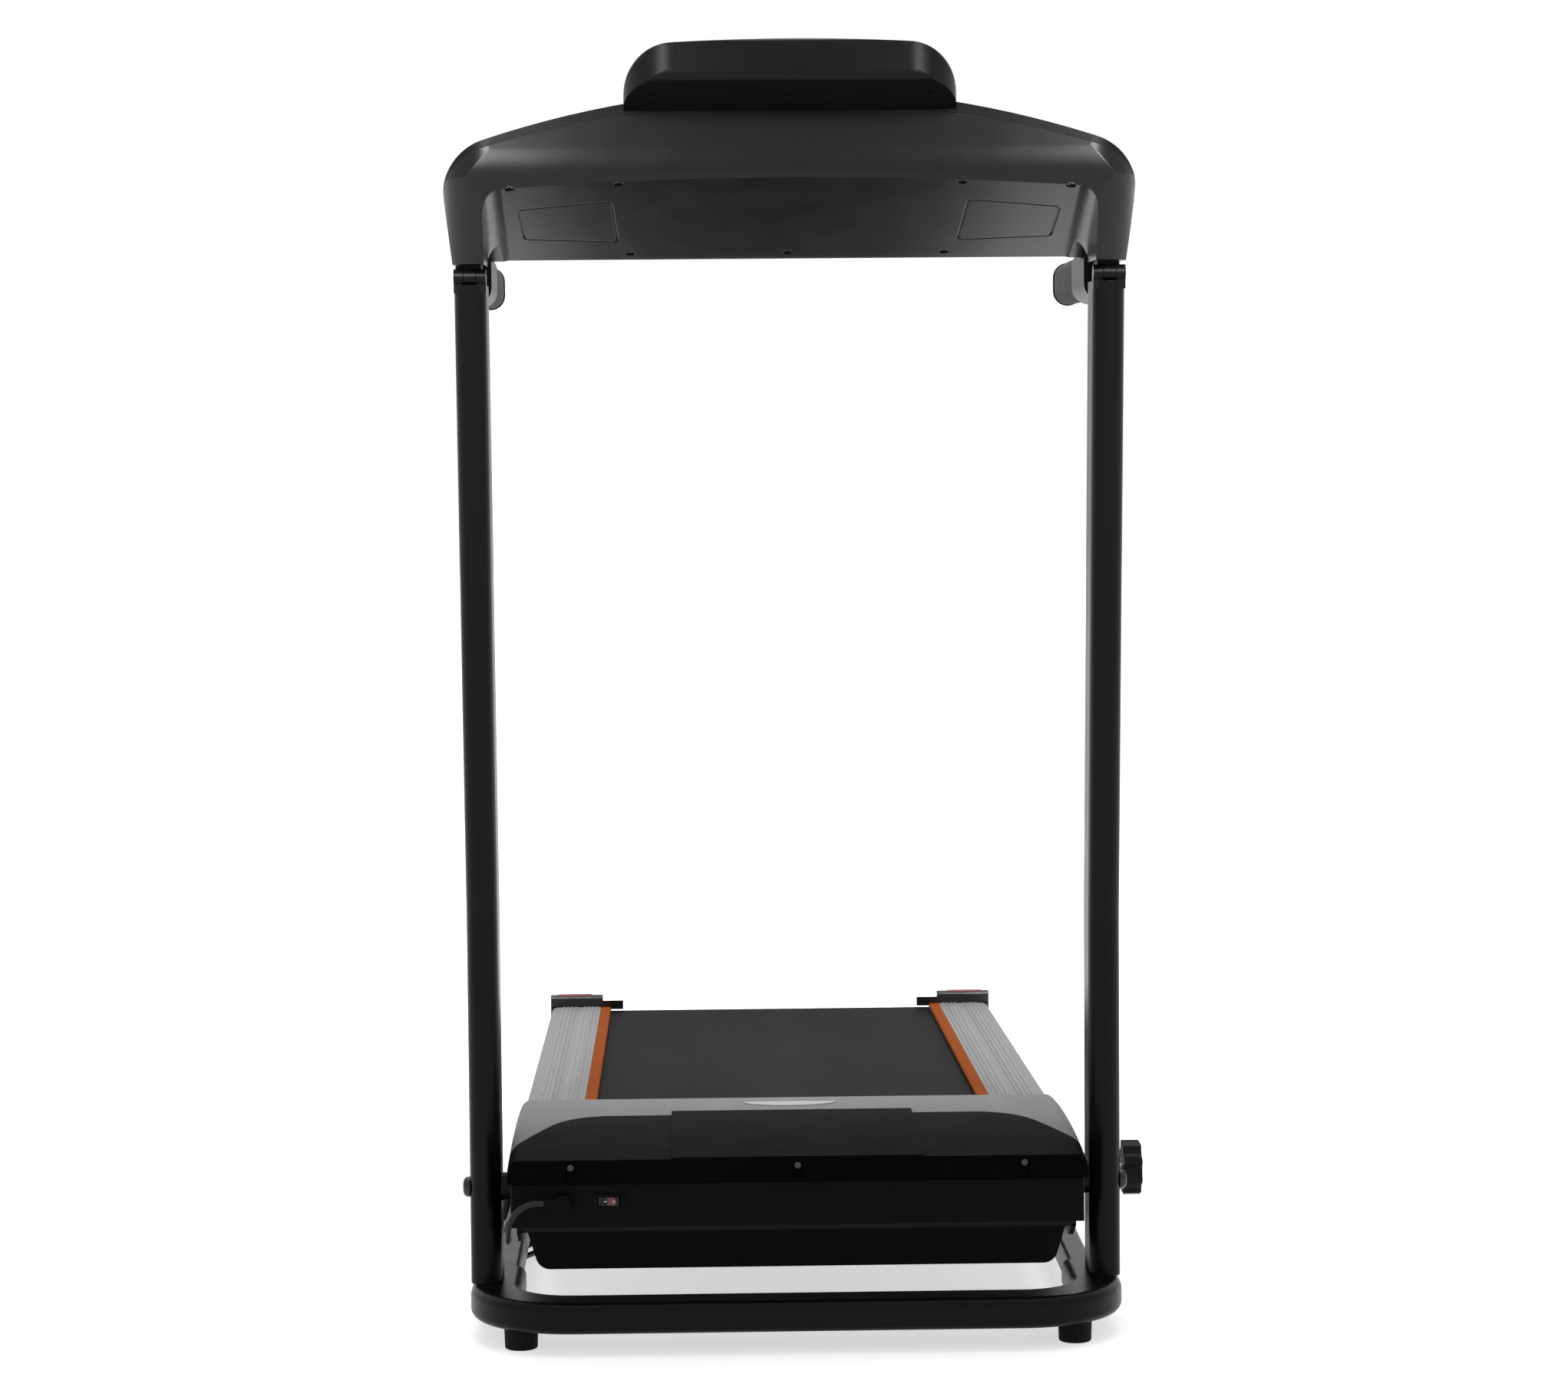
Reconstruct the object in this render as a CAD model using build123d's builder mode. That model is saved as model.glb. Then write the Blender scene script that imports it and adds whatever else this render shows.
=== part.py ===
from build123d import *
import os
from math import atan2, cos, degrees, pi, radians, sin, sqrt, tan

# A folding home treadmill. Millimetres, +Z up, -Y is the motor end that the console overhangs,
# the origin is on the floor under the middle of the machine.

os.makedirs("parts", exist_ok=True)

# Floor frame
frame_ahead = 130  # from the uprights' middle to the frame's front face
bar_depth = 50  # width of the flat tube seen from above
bar_height = 30
bar_edge = 9  # rounding of the tube's edges
bar_wall = 2
corner_radius = 100  # outer bend of the front corners
leg_tail = 18  # length of the bent tube behind the uprights
runner_width = 24
runner_inset = 20  # from the tube's outer face to the runner's outer face
runner_reach = 470  # from the uprights' middle to the runners' rear ends
foot_height = 20
foot_diameter = 33
front_foot_inset = 50  # from the frame's outer face
rear_foot_diameter = 22
rear_foot_setback = 75  # from the runner's rear end

# Uprights
upright_width = 30
upright_depth = 70
upright_wall = 2
upright_foot_y = -507
upright_lean = 64  # how far the top stands in front of the foot
knee_height = 400
knee_radius = 220
upright_top_z = 1003

# Console hinge at the upright tops
knuckle_radius = 7.5
knuckle_width = 9
knuckle_gap = 0.3
hinge_pin_diameter = 6

# Deck pivot and lock
pivot_ahead = 16  # the pivot sits this far in front of the uprights' middle
pivot_z = 142
deck_tilt = 1.6  # the deck falls towards the rear by this many degrees
fold_angle = 79
pivot_bolt_diameter = 12
bolt_head_diameter = 20
bolt_head_height = 7
collar_diameter = 27
lock_offset_y = 38  # the lock pin sits this far behind the pivot
lock_offset_z = 4
lock_pin_diameter = 8
knob_diameter = 53
knob_thickness = 18
knob_standoff = 6.5
knob_flutes = 8
flute_radius = 9

# Deck, measured along the deck from the pivot and up from the pivot
deck_half_width = 270
deck_room = 13  # from the deck's side to the upright beside it
deck_rear = 1206
tube_width = 30
tube_height = 50
tube_wall = 2
tube_top = 12
tube_front = 70
hinge_plate = 5
lower_bars_at = (480, 820)
belt_thickness = 2
belt_edge = 9  # from the belt to the rail beside it
belt_top = 35
board_thickness = 16
roller_diameter = 45
roller_gap = 0.3  # between the belt and the rollers
axle_diameter = 12
axle_block = 10
axle_block_length = 36
axle_block_height = 34
axle_block_drop = 5
front_roller_at = 205
end_cap_length = 61
rear_roller_inset = 41
rail_wall = 3
rail_top = 42
rail_skirt = 30  # the rail's outer wall reaches this far below the pivot
rail_rib_width = 2.4
rail_rib_height = 0.8
strip_width = 12
strip_thickness = 4.5
end_cap_top = 58
end_cap_tab = 25  # how far the cap reaches in over the belt's edge
leg_inset = 121  # from the deck's rear end to the front of its legs
leg_length = 40
leg_foot = 24

# Motor bay
hood_overlap = 3.5  # the hood is wider than the deck by this much on each side
hood_wall = 3
hood_front = -94
hood_rear = 255
hood_skirt = 16
hood_front_top = 38
hood_crown_at = 70
hood_crown = 50
hood_rear_top = 48
hood_side_round = 10
nose_depth = 206  # from the hood's front to the black border
nose_corner_inset = 94  # from the hood's sides to where the border starts to curve
nose_corner_x = 66
nose_corner_y = 110
nose_flare = 30  # angle at which a corner's curve runs out straight
insert_half_width = 119
insert_lift = 1.6
insert_reach = 18  # from the black border to the insert's rear end
panel_overlap = 1
panel_front = -86
panel_bottom = -27
panel_wall = 3
cross_tube_depth = 28
cross_tube_height = 30
pan_inset = 13  # from the deck's side
pan_draft = 11
pan_depth = 36
pan_wall = 3
pan_corner = 14
pan_rear = 195
motor_diameter = 88
motor_length = 150
motor_at = 75
motor_centre = -15
motor_gap = 26  # from the motor's end to its pulley
shaft_diameter = 10
motor_pulley_diameter = 28
roller_pulley_diameter = 52
pulley_width = 14
pulley_gap = 6  # from the belt's edge
block_gap = 2  # from the pulley to the axle's block
drive_belt_thickness = 2.4
cradle_thickness = 4
switch_inset = 93  # from the panel's left end
switch_w = -2
switch_width = 31
switch_height = 14
rocker_width = 20
rocker_height = 8.4
rocker_swing = 12
relief_inset = 50
relief_w = -3

# Console, placed from the top of the uprights
console_overhang = 8  # beyond the uprights' outer faces where the console is widest
leg_overhang = 1  # the same at the bottom of its two legs
leg_lip = 1  # from the uprights' inner faces out to the legs' inner faces
console_corner = 45  # rounding of the front corners, seen from above
shoulder_inset = 39
shoulder_drop = 46  # from the middle of the top to the shoulders
shoulder_bulge = 8.8
side_drop = 46  # from the shoulders to where the console is widest
arch_rise = 8  # the middle of the top over the desk's front end
console_wall = 3
rim_thickness = 12  # depth of the upper shell's rim, in the middle
rim_shoulder = 7
rim_side = 4
crest_ahead = 91  # front edge, where the underside starts
crest_round = 60  # rounding of the front edge, seen from the side
front_height = 72
front_lean = 25  # how far the front face leans back
desk_front_rise = 169
desk_rear_behind = 89
rear_edge = 20  # height of the rear edge under the desk
rear_lean = 5
underside_rise = 27
underside_arch = 9  # how far the front edge rises to the middle
underside_corner = 19
leg_front_ahead = 48
leg_rear_behind = 40
leg_bottom_rise = 19
stub_width = 20
stub_depth = 44
stub_gap = 0.5  # between a stub and the upright under it
arm_width = 34
arm_height = 54
arm_rise = 10
arm_tube_diameter = 22
arm_tube_rise = 14
arm_cover_length = 124
grip_length = 225
grip_width = 30
grip_height = 44
grip_cap_length = 8
cross_bar_diameter = 22
cross_bar_sink = 48  # below the desk
panel_recess = 1.6
panel_groove = 2.2  # width of the groove round the two panels of the underside
well_width = 88
well_length = 70
well_depth = 24
well_inset = 116  # from the console's side to the middle of a tray
well_at = 95  # down the desk from its front end
head_half_width = 153
head_rise = 50  # top of the display head over the desk's front end
head_arch = 6
head_corner = 46
head_round = 46  # rounding of the head's front corners, seen from above
head_wall = 3
head_low_ahead = 48  # lower front edge of the head, from the desk's front end
head_low_rise = 15
head_lean = 7
head_depth = 17
screen_foot_behind = 22  # lower end of the screen, from the desk's front end
screen_foot_drop = 24
bezel_depth = 12
lens_width = 232
lens_height = 48
lens_thickness = 2
lens_at = 34  # down the screen from its top edge
button_diameter = 24
button_height = 3
button_spacing = 56
button_flange = 1.5
buttons_at = 70
key_diameter = 30
key_height = 9
key_stem_diameter = 10
key_stem_length = 12
key_at = 118
case_screw_diameter = 9

# Transport wheels
wheel_diameter = 56
wheel_width = 18
wheel_floor_gap = 2
wheel_axle_diameter = 8

# Mains cord
cord_diameter = 6
coil_radius = 43  # at the start of the outermost turn
coil_pitch = 7.4
coil_turns = 2.5  # in each of the two layers
coil_x, coil_y = -190, 10
coil_entry = -33.5  # degrees round the coil's centre where the cord runs in
tie_width = 9
tie_thickness = 0.8
tie_room = 1
plug_width = 25
plug_length = 38
plug_tail = 30  # straight cord from the coil to the plug

# Clearances
running_fit = 0.05  # radial, shafts in their bores
pass_fit = 0.3  # radial, bolts through plates
slide_fit = 0.4  # around buttons and keys

# Planes and places that follow from the sizes
half_width = deck_half_width + deck_room + upright_width
frame_front_y = upright_foot_y - frame_ahead
runner_rear_y = upright_foot_y + runner_reach
pivot_y = upright_foot_y - pivot_ahead
front_foot_x = half_width - front_foot_inset
bar_top = foot_height + bar_height
bar_z = foot_height + bar_height / 2
bar_y = frame_front_y + bar_depth / 2
bar_x = half_width - bar_depth / 2
bend_radius = corner_radius - bar_depth / 2
upright_x = half_width - upright_width / 2
upright_inner_x = half_width - upright_width
upright_rear_y = upright_foot_y + upright_depth / 2
upright_top_y = upright_foot_y - upright_lean
leg_end_y = upright_rear_y + leg_tail
runner_x = half_width - runner_inset - runner_width / 2
lean_angle = degrees(atan2(upright_lean, upright_top_z - knee_height))
hinge_y = upright_top_y - upright_depth / 2 + knuckle_radius
hinge_z = upright_top_z + knuckle_radius
knuckle_room = upright_width - 2 * knuckle_width - 2 * knuckle_gap

deck = Plane(
    origin=(0, pivot_y, pivot_z),
    x_dir=(1, 0, 0),
    z_dir=(0, sin(radians(deck_tilt)), cos(radians(deck_tilt))),
)
plate_outer = deck_half_width - rail_wall
tube_outer = plate_outer - hinge_plate
tube_inner = tube_outer - tube_width
tube_centre_x = tube_outer - tube_width / 2
tube_bottom = tube_top - tube_height
tube_centre_w = tube_top - tube_height / 2
roller_radius = roller_diameter / 2
roller_w = belt_top - belt_thickness - roller_gap - roller_radius
rear_roller_at = deck_rear - rear_roller_inset
board_top = belt_top - belt_thickness - 0.2
board_bottom = board_top - board_thickness
belt_half = tube_inner - axle_block - block_gap - pulley_width - pulley_gap
belt_width = 2 * belt_half
rail_inner = belt_half + belt_edge
leg_at = deck_rear - leg_inset
cap_front = deck_rear - end_cap_length
pulley_inner_x = belt_half + pulley_gap
motor_inner_x = pulley_inner_x - motor_gap - motor_length
hood_half_width = deck_half_width + hood_overlap
panel_half_width = deck_half_width + panel_overlap
pan_half_width = deck_half_width - pan_inset
switch_x = switch_inset - panel_half_width
relief_x = relief_inset - panel_half_width

console_half_width = half_width + console_overhang
leg_outer_x = half_width + leg_overhang
leg_inner_x = upright_inner_x + leg_lip
shoulder_x = console_half_width - shoulder_inset
well_x = console_half_width - well_inset
crest_y = upright_top_y - crest_ahead
desk_front_y = crest_y + front_lean
desk_rear_y = upright_top_y + desk_rear_behind
underside_y = desk_rear_y - rear_lean
leg_front_y = upright_top_y - leg_front_ahead
leg_rear_y = upright_top_y + leg_rear_behind
desk_front_z = upright_top_z + desk_front_rise
crest_z = desk_front_z - front_height
underside_z = upright_top_z + underside_rise
desk_rear_z = underside_z + rear_edge
leg_bottom_z = upright_top_z + leg_bottom_rise
arch_top_z = desk_front_z + arch_rise
shoulder_z = arch_top_z - shoulder_drop
console_side_z = shoulder_z - side_drop
arm_z = upright_top_z + arm_rise
arm_tube_z = upright_top_z + arm_tube_rise
head_top_z = desk_front_z + head_rise
head_low_y = desk_front_y - head_low_ahead
head_low_z = desk_front_z + head_low_rise
head_front_y = head_low_y + head_lean
head_rear_y = head_front_y + head_depth
screen_foot_y = desk_front_y + screen_foot_behind
screen_foot_z = desk_front_z - screen_foot_drop


def deck_side(x):
    """A plane square to X: its x runs back along the deck, its y rises from the deck."""
    return Plane(origin=(x, pivot_y, pivot_z), x_dir=deck.y_dir, z_dir=(1, 0, 0))


def deck_section(v):
    """A plane across the deck at v from the pivot, seen from the front."""
    return Plane(
        origin=deck.from_local_coords(Vector(0, v, 0)),
        x_dir=(1, 0, 0),
        z_dir=-deck.y_dir,
    )


def deck_level(w):
    return deck.offset(w)


def floor_below(v):
    """How far under the pivot's level the floor lies at v along the deck."""
    return (v * sin(radians(deck_tilt)) - pivot_z) / cos(radians(deck_tilt))


# Floor frame: a bent flat tube in front, a plain runner welded behind each leg
with BuildPart() as base_frame:
    with BuildLine() as frame_path:
        FilletPolyline(
            (-bar_x, leg_end_y, bar_z),
            (-bar_x, bar_y, bar_z),
            (bar_x, bar_y, bar_z),
            (bar_x, leg_end_y, bar_z),
            radius=bend_radius,
        )
    with BuildSketch(Plane(origin=frame_path.line @ 0, x_dir=(1, 0, 0), z_dir=frame_path.line % 0)):
        RectangleRounded(bar_depth, bar_height, bar_edge)
        RectangleRounded(
            bar_depth - 2 * bar_wall,
            bar_height - 2 * bar_wall,
            bar_edge - bar_wall,
            mode=Mode.SUBTRACT,
        )
    sweep(path=frame_path.line)
    for side in (-1, 1):
        with BuildSketch(Plane.XZ.offset(-leg_end_y)):
            with Locations((side * bar_x, bar_z)):
                RectangleRounded(bar_depth, bar_height, bar_edge)
        extrude(amount=bar_wall)
        with BuildSketch(Plane.XZ.offset(-leg_end_y)):
            with Locations((side * runner_x, bar_z)):
                RectangleRounded(runner_width, bar_height, bar_edge / 2)
                RectangleRounded(
                    runner_width - 2 * bar_wall,
                    bar_height - 2 * bar_wall,
                    bar_edge / 2 - bar_wall,
                    mode=Mode.SUBTRACT,
                )
        extrude(amount=leg_end_y - runner_rear_y)
        with BuildSketch(Plane.XZ.offset(-runner_rear_y)):
            with Locations((side * runner_x, bar_z)):
                RectangleRounded(runner_width, bar_height, bar_edge / 2)
        extrude(amount=bar_wall)
    wheel_y = runner_rear_y - wheel_diameter / 2
    wheel_z = wheel_diameter / 2 + wheel_floor_gap
    with BuildSketch(Plane.YZ.offset(-half_width)):
        with Locations((wheel_y, wheel_z)):
            Circle(wheel_axle_diameter / 2)
    extrude(amount=2 * half_width, mode=Mode.SUBTRACT)
base_frame.part.label = "base_frame"
export_step(base_frame.part, "parts/base_frame.step")

# Front feet: slightly tapered rubber buffers under the bent corners
foot_y = bar_y + bend_radius - sqrt(bend_radius**2 - (front_foot_x - bar_x + bend_radius) ** 2)
with BuildPart() as front_feet:
    with BuildSketch(Plane.XY):
        with Locations((-front_foot_x, foot_y), (front_foot_x, foot_y)):
            Circle(foot_diameter / 2 - 1)
    extrude(amount=foot_height, taper=-2)
    fillet(front_feet.faces().sort_by(Axis.Z)[:2].edges(), 2)
front_feet.part.label = "front_feet"
export_step(front_feet.part, "parts/front_feet.step")

with BuildPart() as rear_feet:
    with BuildSketch(Plane.XY):
        with GridLocations(2 * runner_x, 1, 2, 1):
            with Locations((0, runner_rear_y - rear_foot_setback)):
                Circle(rear_foot_diameter / 2)
    extrude(amount=foot_height)
    fillet(rear_feet.faces().sort_by(Axis.Z)[:2].edges(), 2)
rear_feet.part.label = "rear_feet"
export_step(rear_feet.part, "parts/rear_feet.step")

# Transport wheels on bolts through the runners' rear ends
wheel_x = runner_x + runner_width / 2 + 1.5 + wheel_width / 2
for side, name in ((-1, "left_wheel"), (1, "right_wheel")):
    with BuildPart() as wheel:
        with BuildSketch(Plane.YZ.offset(side * wheel_x)):
            with Locations((wheel_y, wheel_z)):
                Circle(wheel_diameter / 2)
        extrude(amount=wheel_width / 2, both=True)
        fillet(wheel.edges().filter_by(GeomType.CIRCLE), 3)
        with BuildSketch(Plane.YZ.offset(side * (wheel_x + wheel_width / 2))):
            with Locations((wheel_y, wheel_z)):
                Circle(wheel_diameter * 0.34)
                Circle(wheel_diameter * 0.2, mode=Mode.SUBTRACT)
        extrude(amount=-side * 3, mode=Mode.SUBTRACT)
        with BuildSketch(Plane.YZ.offset(side * wheel_x)):
            with Locations((wheel_y, wheel_z)):
                Circle(wheel_axle_diameter / 2 + running_fit)
        extrude(amount=wheel_width, both=True, mode=Mode.SUBTRACT)
    wheel.part.label = name
    export_step(wheel.part, f"parts/{name}.step")

axle_head = 4
with BuildPart() as wheel_axles:
    for side in (-1, 1):
        inner = side * (runner_x - runner_width / 2 - axle_head)
        span = runner_width + wheel_width + 3 + 2 * axle_head
        with BuildSketch(Plane.YZ.offset(inner)):
            with Locations((wheel_y, wheel_z)):
                Circle(wheel_axle_diameter / 2)
        extrude(amount=side * span)
        with BuildSketch(Plane.YZ.offset(inner), Plane.YZ.offset(inner + side * (span - axle_head))):
            with Locations((wheel_y, wheel_z)):
                RegularPolygon(wheel_axle_diameter * 0.8, 6)
        extrude(amount=side * axle_head)
wheel_axles.part.label = "wheel_axles"
export_step(wheel_axles.part, "parts/wheel_axles.step")

# Uprights: flat-oval tube, bent at the knee, with two hinge ears at the top
lock_y = pivot_y + lock_offset_y
lock_z = pivot_z + lock_offset_z
for side, name in ((-1, "left_upright"), (1, "right_upright")):
    with BuildPart() as upright:
        with BuildLine() as upright_path:
            FilletPolyline(
                (side * upright_x, upright_foot_y, bar_top),
                (side * upright_x, upright_foot_y, knee_height),
                (
                    side * upright_x,
                    upright_top_y - upright_depth * tan(radians(lean_angle)),
                    upright_top_z + upright_depth,
                ),
                radius=knee_radius,
            )
        with BuildSketch(Plane.XY.offset(bar_top)):
            with Locations((side * upright_x, upright_foot_y)):
                SlotOverall(upright_depth, upright_width, rotation=90)
                SlotOverall(
                    upright_depth - 2 * upright_wall,
                    upright_width - 2 * upright_wall,
                    rotation=90,
                    mode=Mode.SUBTRACT,
                )
        sweep(path=upright_path.line)
        split(bisect_by=Plane.XY.offset(upright_top_z), keep=Keep.BOTTOM)
        for edge_side in (-1, 1):
            ear_x = side * upright_x + edge_side * (upright_width - knuckle_width) / 2
            with BuildSketch(Plane.YZ.offset(ear_x)):
                with Locations((hinge_y, hinge_z)):
                    Circle(knuckle_radius)
                with Locations((hinge_y + knuckle_radius / 2, hinge_z - knuckle_radius)):
                    Rectangle(2 * knuckle_radius, 2 * knuckle_radius)
                with Locations((hinge_y, hinge_z)):
                    Circle(hinge_pin_diameter / 2, mode=Mode.SUBTRACT)
            extrude(amount=knuckle_width / 2, both=True)
        with BuildSketch(Plane.YZ.offset(side * upright_x)):
            with Locations((pivot_y, pivot_z)):
                Circle(pivot_bolt_diameter / 2)
            if side > 0:
                with Locations((lock_y, lock_z)):
                    Circle(lock_pin_diameter / 2 + pass_fit)
        extrude(amount=upright_width, both=True, mode=Mode.SUBTRACT)
    upright.part.label = name
    export_step(upright.part, f"parts/{name}.step")

# Pivot bolts with domed heads outside and nuts inside the hinge plates
nut_height = 9
with BuildPart() as pivot_bolts:
    for side in (-1, 1):
        shank_inner = tube_outer - pass_fit - nut_height
        with BuildSketch(Plane.YZ.offset(side * shank_inner)):
            with Locations((pivot_y, pivot_z)):
                Circle(pivot_bolt_diameter / 2)
        extrude(amount=side * (half_width - shank_inner))
        with BuildSketch(Plane.YZ.offset(side * half_width)):
            with Locations((pivot_y, pivot_z)):
                Circle(bolt_head_diameter / 2)
        extrude(amount=side * bolt_head_height)
        with BuildSketch(Plane.YZ.offset(side * shank_inner)):
            with Locations((pivot_y, pivot_z)):
                RegularPolygon(pivot_bolt_diameter * 0.8, 6)
        extrude(amount=side * nut_height)
    fillet(pivot_bolts.faces().sort_by(Axis.X)[0].edges(), bolt_head_height * 0.8)
    fillet(pivot_bolts.faces().sort_by(Axis.X)[-1].edges(), bolt_head_height * 0.8)
pivot_bolts.part.label = "pivot_bolts"
export_step(pivot_bolts.part, "parts/pivot_bolts.step")

with BuildPart() as pivot_collars:
    for side in (-1, 1):
        with BuildSketch(Plane.YZ.offset(side * upright_inner_x)):
            with Locations((pivot_y, pivot_z)):
                Circle(collar_diameter / 2)
                Circle(pivot_bolt_diameter / 2, mode=Mode.SUBTRACT)
        extrude(amount=-side * (upright_inner_x - plate_outer - pass_fit))
pivot_collars.part.label = "pivot_collars"
export_step(pivot_collars.part, "parts/pivot_collars.step")

with BuildPart() as hinge_pins:
    for side in (-1, 1):
        with BuildSketch(Plane.YZ.offset(side * upright_inner_x)):
            with Locations((hinge_y, hinge_z)):
                Circle(hinge_pin_diameter / 2)
        extrude(amount=side * upright_width)
hinge_pins.part.label = "hinge_pins"
export_step(hinge_pins.part, "parts/hinge_pins.step")

# Lock knob and its pin; the pin's tip stands just off the deck's hinge plate
knob_inner_x = half_width + knob_standoff
pin_tip_x = plate_outer + pass_fit
pin_depth = knob_thickness / 2
with BuildPart() as lock_knob:
    with BuildSketch(Plane.YZ.offset(knob_inner_x)):
        with Locations((lock_y, lock_z)):
            Circle(knob_diameter / 2)
            with PolarLocations(knob_diameter / 2 + flute_radius * 0.55, knob_flutes):
                Circle(flute_radius, mode=Mode.SUBTRACT)
    extrude(amount=knob_thickness)
    fillet(lock_knob.faces().sort_by(Axis.X)[-1].edges(), 2.5)
    with BuildSketch(Plane.YZ.offset(knob_inner_x)):
        with Locations((lock_y, lock_z)):
            Circle(lock_pin_diameter / 2)
    extrude(amount=pin_depth, mode=Mode.SUBTRACT)
lock_knob.part.label = "lock_knob"
export_step(lock_knob.part, "parts/lock_knob.step")

with BuildPart() as lock_pin:
    with BuildSketch(Plane.YZ.offset(pin_tip_x)):
        with Locations((lock_y, lock_z)):
            Circle(lock_pin_diameter / 2)
    extrude(amount=knob_inner_x + pin_depth - pin_tip_x)
    chamfer(lock_pin.faces().sort_by(Axis.X)[0].edges(), 1)
lock_pin.part.label = "lock_pin"
export_step(lock_pin.part, "parts/lock_pin.step")

# Deck frame: side tubes, cross tubes, hinge plates, roller blocks, motor cradle and rear legs
cross_front = -44
mid_tube_at = 150
mid_tube_depth = 30
mid_tube_height = 21
lower_bar_height = 18
lower_bar_depth = 30
fold_turn = radians(fold_angle)
tilt = radians(deck_tilt)
lock_v = lock_offset_y * cos(tilt) - lock_offset_z * sin(tilt)
lock_w = lock_offset_y * sin(tilt) + lock_offset_z * cos(tilt)
folded_lock_v = lock_v * cos(fold_turn) + lock_w * sin(fold_turn)
folded_lock_w = lock_w * cos(fold_turn) - lock_v * sin(fold_turn)
cradle_top = tube_bottom - mid_tube_height
cradle_inset = 20  # from the motor's ends
cradle_inner_x = motor_inner_x + cradle_inset
cradle_width = motor_length - 2 * cradle_inset
with BuildPart() as deck_frame:
    with BuildSketch(deck_section(tube_front)):
        with GridLocations(2 * tube_centre_x, 1, 2, 1):
            with Locations((0, tube_centre_w)):
                Rectangle(tube_width, tube_height)
                Rectangle(
                    tube_width - 2 * tube_wall, tube_height - 2 * tube_wall, mode=Mode.SUBTRACT
                )
    extrude(amount=tube_front - deck_rear + 16)
    with BuildSketch(deck_side(-tube_outer)):
        cross_w = tube_bottom + cross_tube_height / 2
        with Locations((cross_front + cross_tube_depth / 2, cross_w)):
            Rectangle(cross_tube_depth, cross_tube_height)
            Rectangle(
                cross_tube_depth - 2 * tube_wall,
                cross_tube_height - 2 * tube_wall,
                mode=Mode.SUBTRACT,
            )
        with Locations((mid_tube_at + mid_tube_depth / 2, tube_bottom - mid_tube_height / 2)):
            Rectangle(mid_tube_depth, mid_tube_height)
            Rectangle(
                mid_tube_depth - 2 * tube_wall,
                mid_tube_height - 2 * tube_wall,
                mode=Mode.SUBTRACT,
            )
    extrude(amount=2 * tube_outer)
    with BuildSketch(deck_side(-tube_inner)):
        for bar_at in (*lower_bars_at, leg_at):
            with Locations((bar_at + lower_bar_depth / 2, tube_bottom + lower_bar_height / 2)):
                Rectangle(lower_bar_depth, lower_bar_height)
                Rectangle(
                    lower_bar_depth - 2 * tube_wall,
                    lower_bar_height - 2 * tube_wall,
                    mode=Mode.SUBTRACT,
                )
    extrude(amount=2 * tube_inner)
    for side in (-1, 1):
        with BuildSketch(deck_side(side * tube_outer)):
            with BuildLine():
                FilletPolyline(
                    (cross_front, tube_bottom),
                    (cross_front, tube_top - 8),
                    (-10, tube_top + 3),
                    (tube_front + 60, tube_top),
                    (tube_front + 60, tube_bottom),
                    (30, tube_bottom - 14),
                    (-10, tube_bottom - 14),
                    radius=6,
                    close=True,
                )
            make_face()
            Circle(pivot_bolt_diameter / 2 + running_fit, mode=Mode.SUBTRACT)
            if side > 0:
                with Locations((lock_v, lock_w), (folded_lock_v, folded_lock_w)):
                    Circle(lock_pin_diameter / 2 + pass_fit, mode=Mode.SUBTRACT)
        extrude(amount=side * hinge_plate)
        with BuildSketch(deck_side(side * tube_inner)):
            for roller_at in (front_roller_at, rear_roller_at):
                with Locations((roller_at, roller_w - axle_block_drop)):
                    Rectangle(axle_block_length, axle_block_height)
                with Locations((roller_at, roller_w)):
                    Circle(axle_diameter / 2, mode=Mode.SUBTRACT)
        extrude(amount=-side * axle_block)
    with BuildSketch(deck_side(cradle_inner_x)):
        with BuildLine():
            cradle_back = cross_front + cross_tube_depth
            cradle_end = mid_tube_at + mid_tube_depth
            Polyline(
                (cradle_back, tube_bottom + cross_tube_height - 4),
                (cradle_back + cradle_thickness, tube_bottom + cross_tube_height - 4),
                (cradle_back + cradle_thickness, cradle_top),
                (cradle_end, cradle_top),
                (cradle_end, cradle_top - cradle_thickness),
                (cradle_back, cradle_top - cradle_thickness),
                close=True,
            )
        make_face()
    extrude(amount=cradle_width)
    leg_bottom = floor_below(leg_at + leg_length / 2) + leg_foot
    with BuildSketch(deck_level(tube_bottom)):
        with GridLocations(2 * tube_centre_x, 1, 2, 1):
            with Locations((0, leg_at + leg_length / 2)):
                Rectangle(tube_width, leg_length)
                Rectangle(tube_width - 2 * tube_wall, leg_length - 2 * tube_wall, mode=Mode.SUBTRACT)
    extrude(amount=leg_bottom - tube_bottom)
deck_frame.part.label = "deck_frame"
export_step(deck_frame.part, "parts/deck_frame.step")

# Rubber feet over the ends of the rear legs, cut level with the floor
with BuildPart() as leg_feet:
    with BuildSketch(deck_level(leg_bottom)):
        with GridLocations(2 * tube_centre_x, 1, 2, 1):
            with Locations((0, leg_at + leg_length / 2)):
                RectangleRounded(tube_width + 4, leg_length + 4, 6)
    extrude(amount=-leg_foot - 10)
    split(bisect_by=Plane.XY, keep=Keep.TOP)
leg_feet.part.label = "leg_feet"
export_step(leg_feet.part, "parts/leg_feet.step")

# Running board on rubber cushions, with the belt around it and the rollers
board_front = front_roller_at + roller_radius + 14
board_rear = rear_roller_at - roller_radius - 14
board_half = tube_centre_x + 8
with BuildPart() as running_board:
    with BuildSketch(deck_level(board_bottom)):
        with Locations((0, (board_front + board_rear) / 2)):
            RectangleRounded(2 * board_half, board_rear - board_front, 6)
    extrude(amount=board_thickness)
    front_rear = running_board.edges().filter_by(Axis.X)
    chamfer(front_rear, 3)
running_board.part.label = "running_board"
export_step(running_board.part, "parts/running_board.step")

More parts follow.
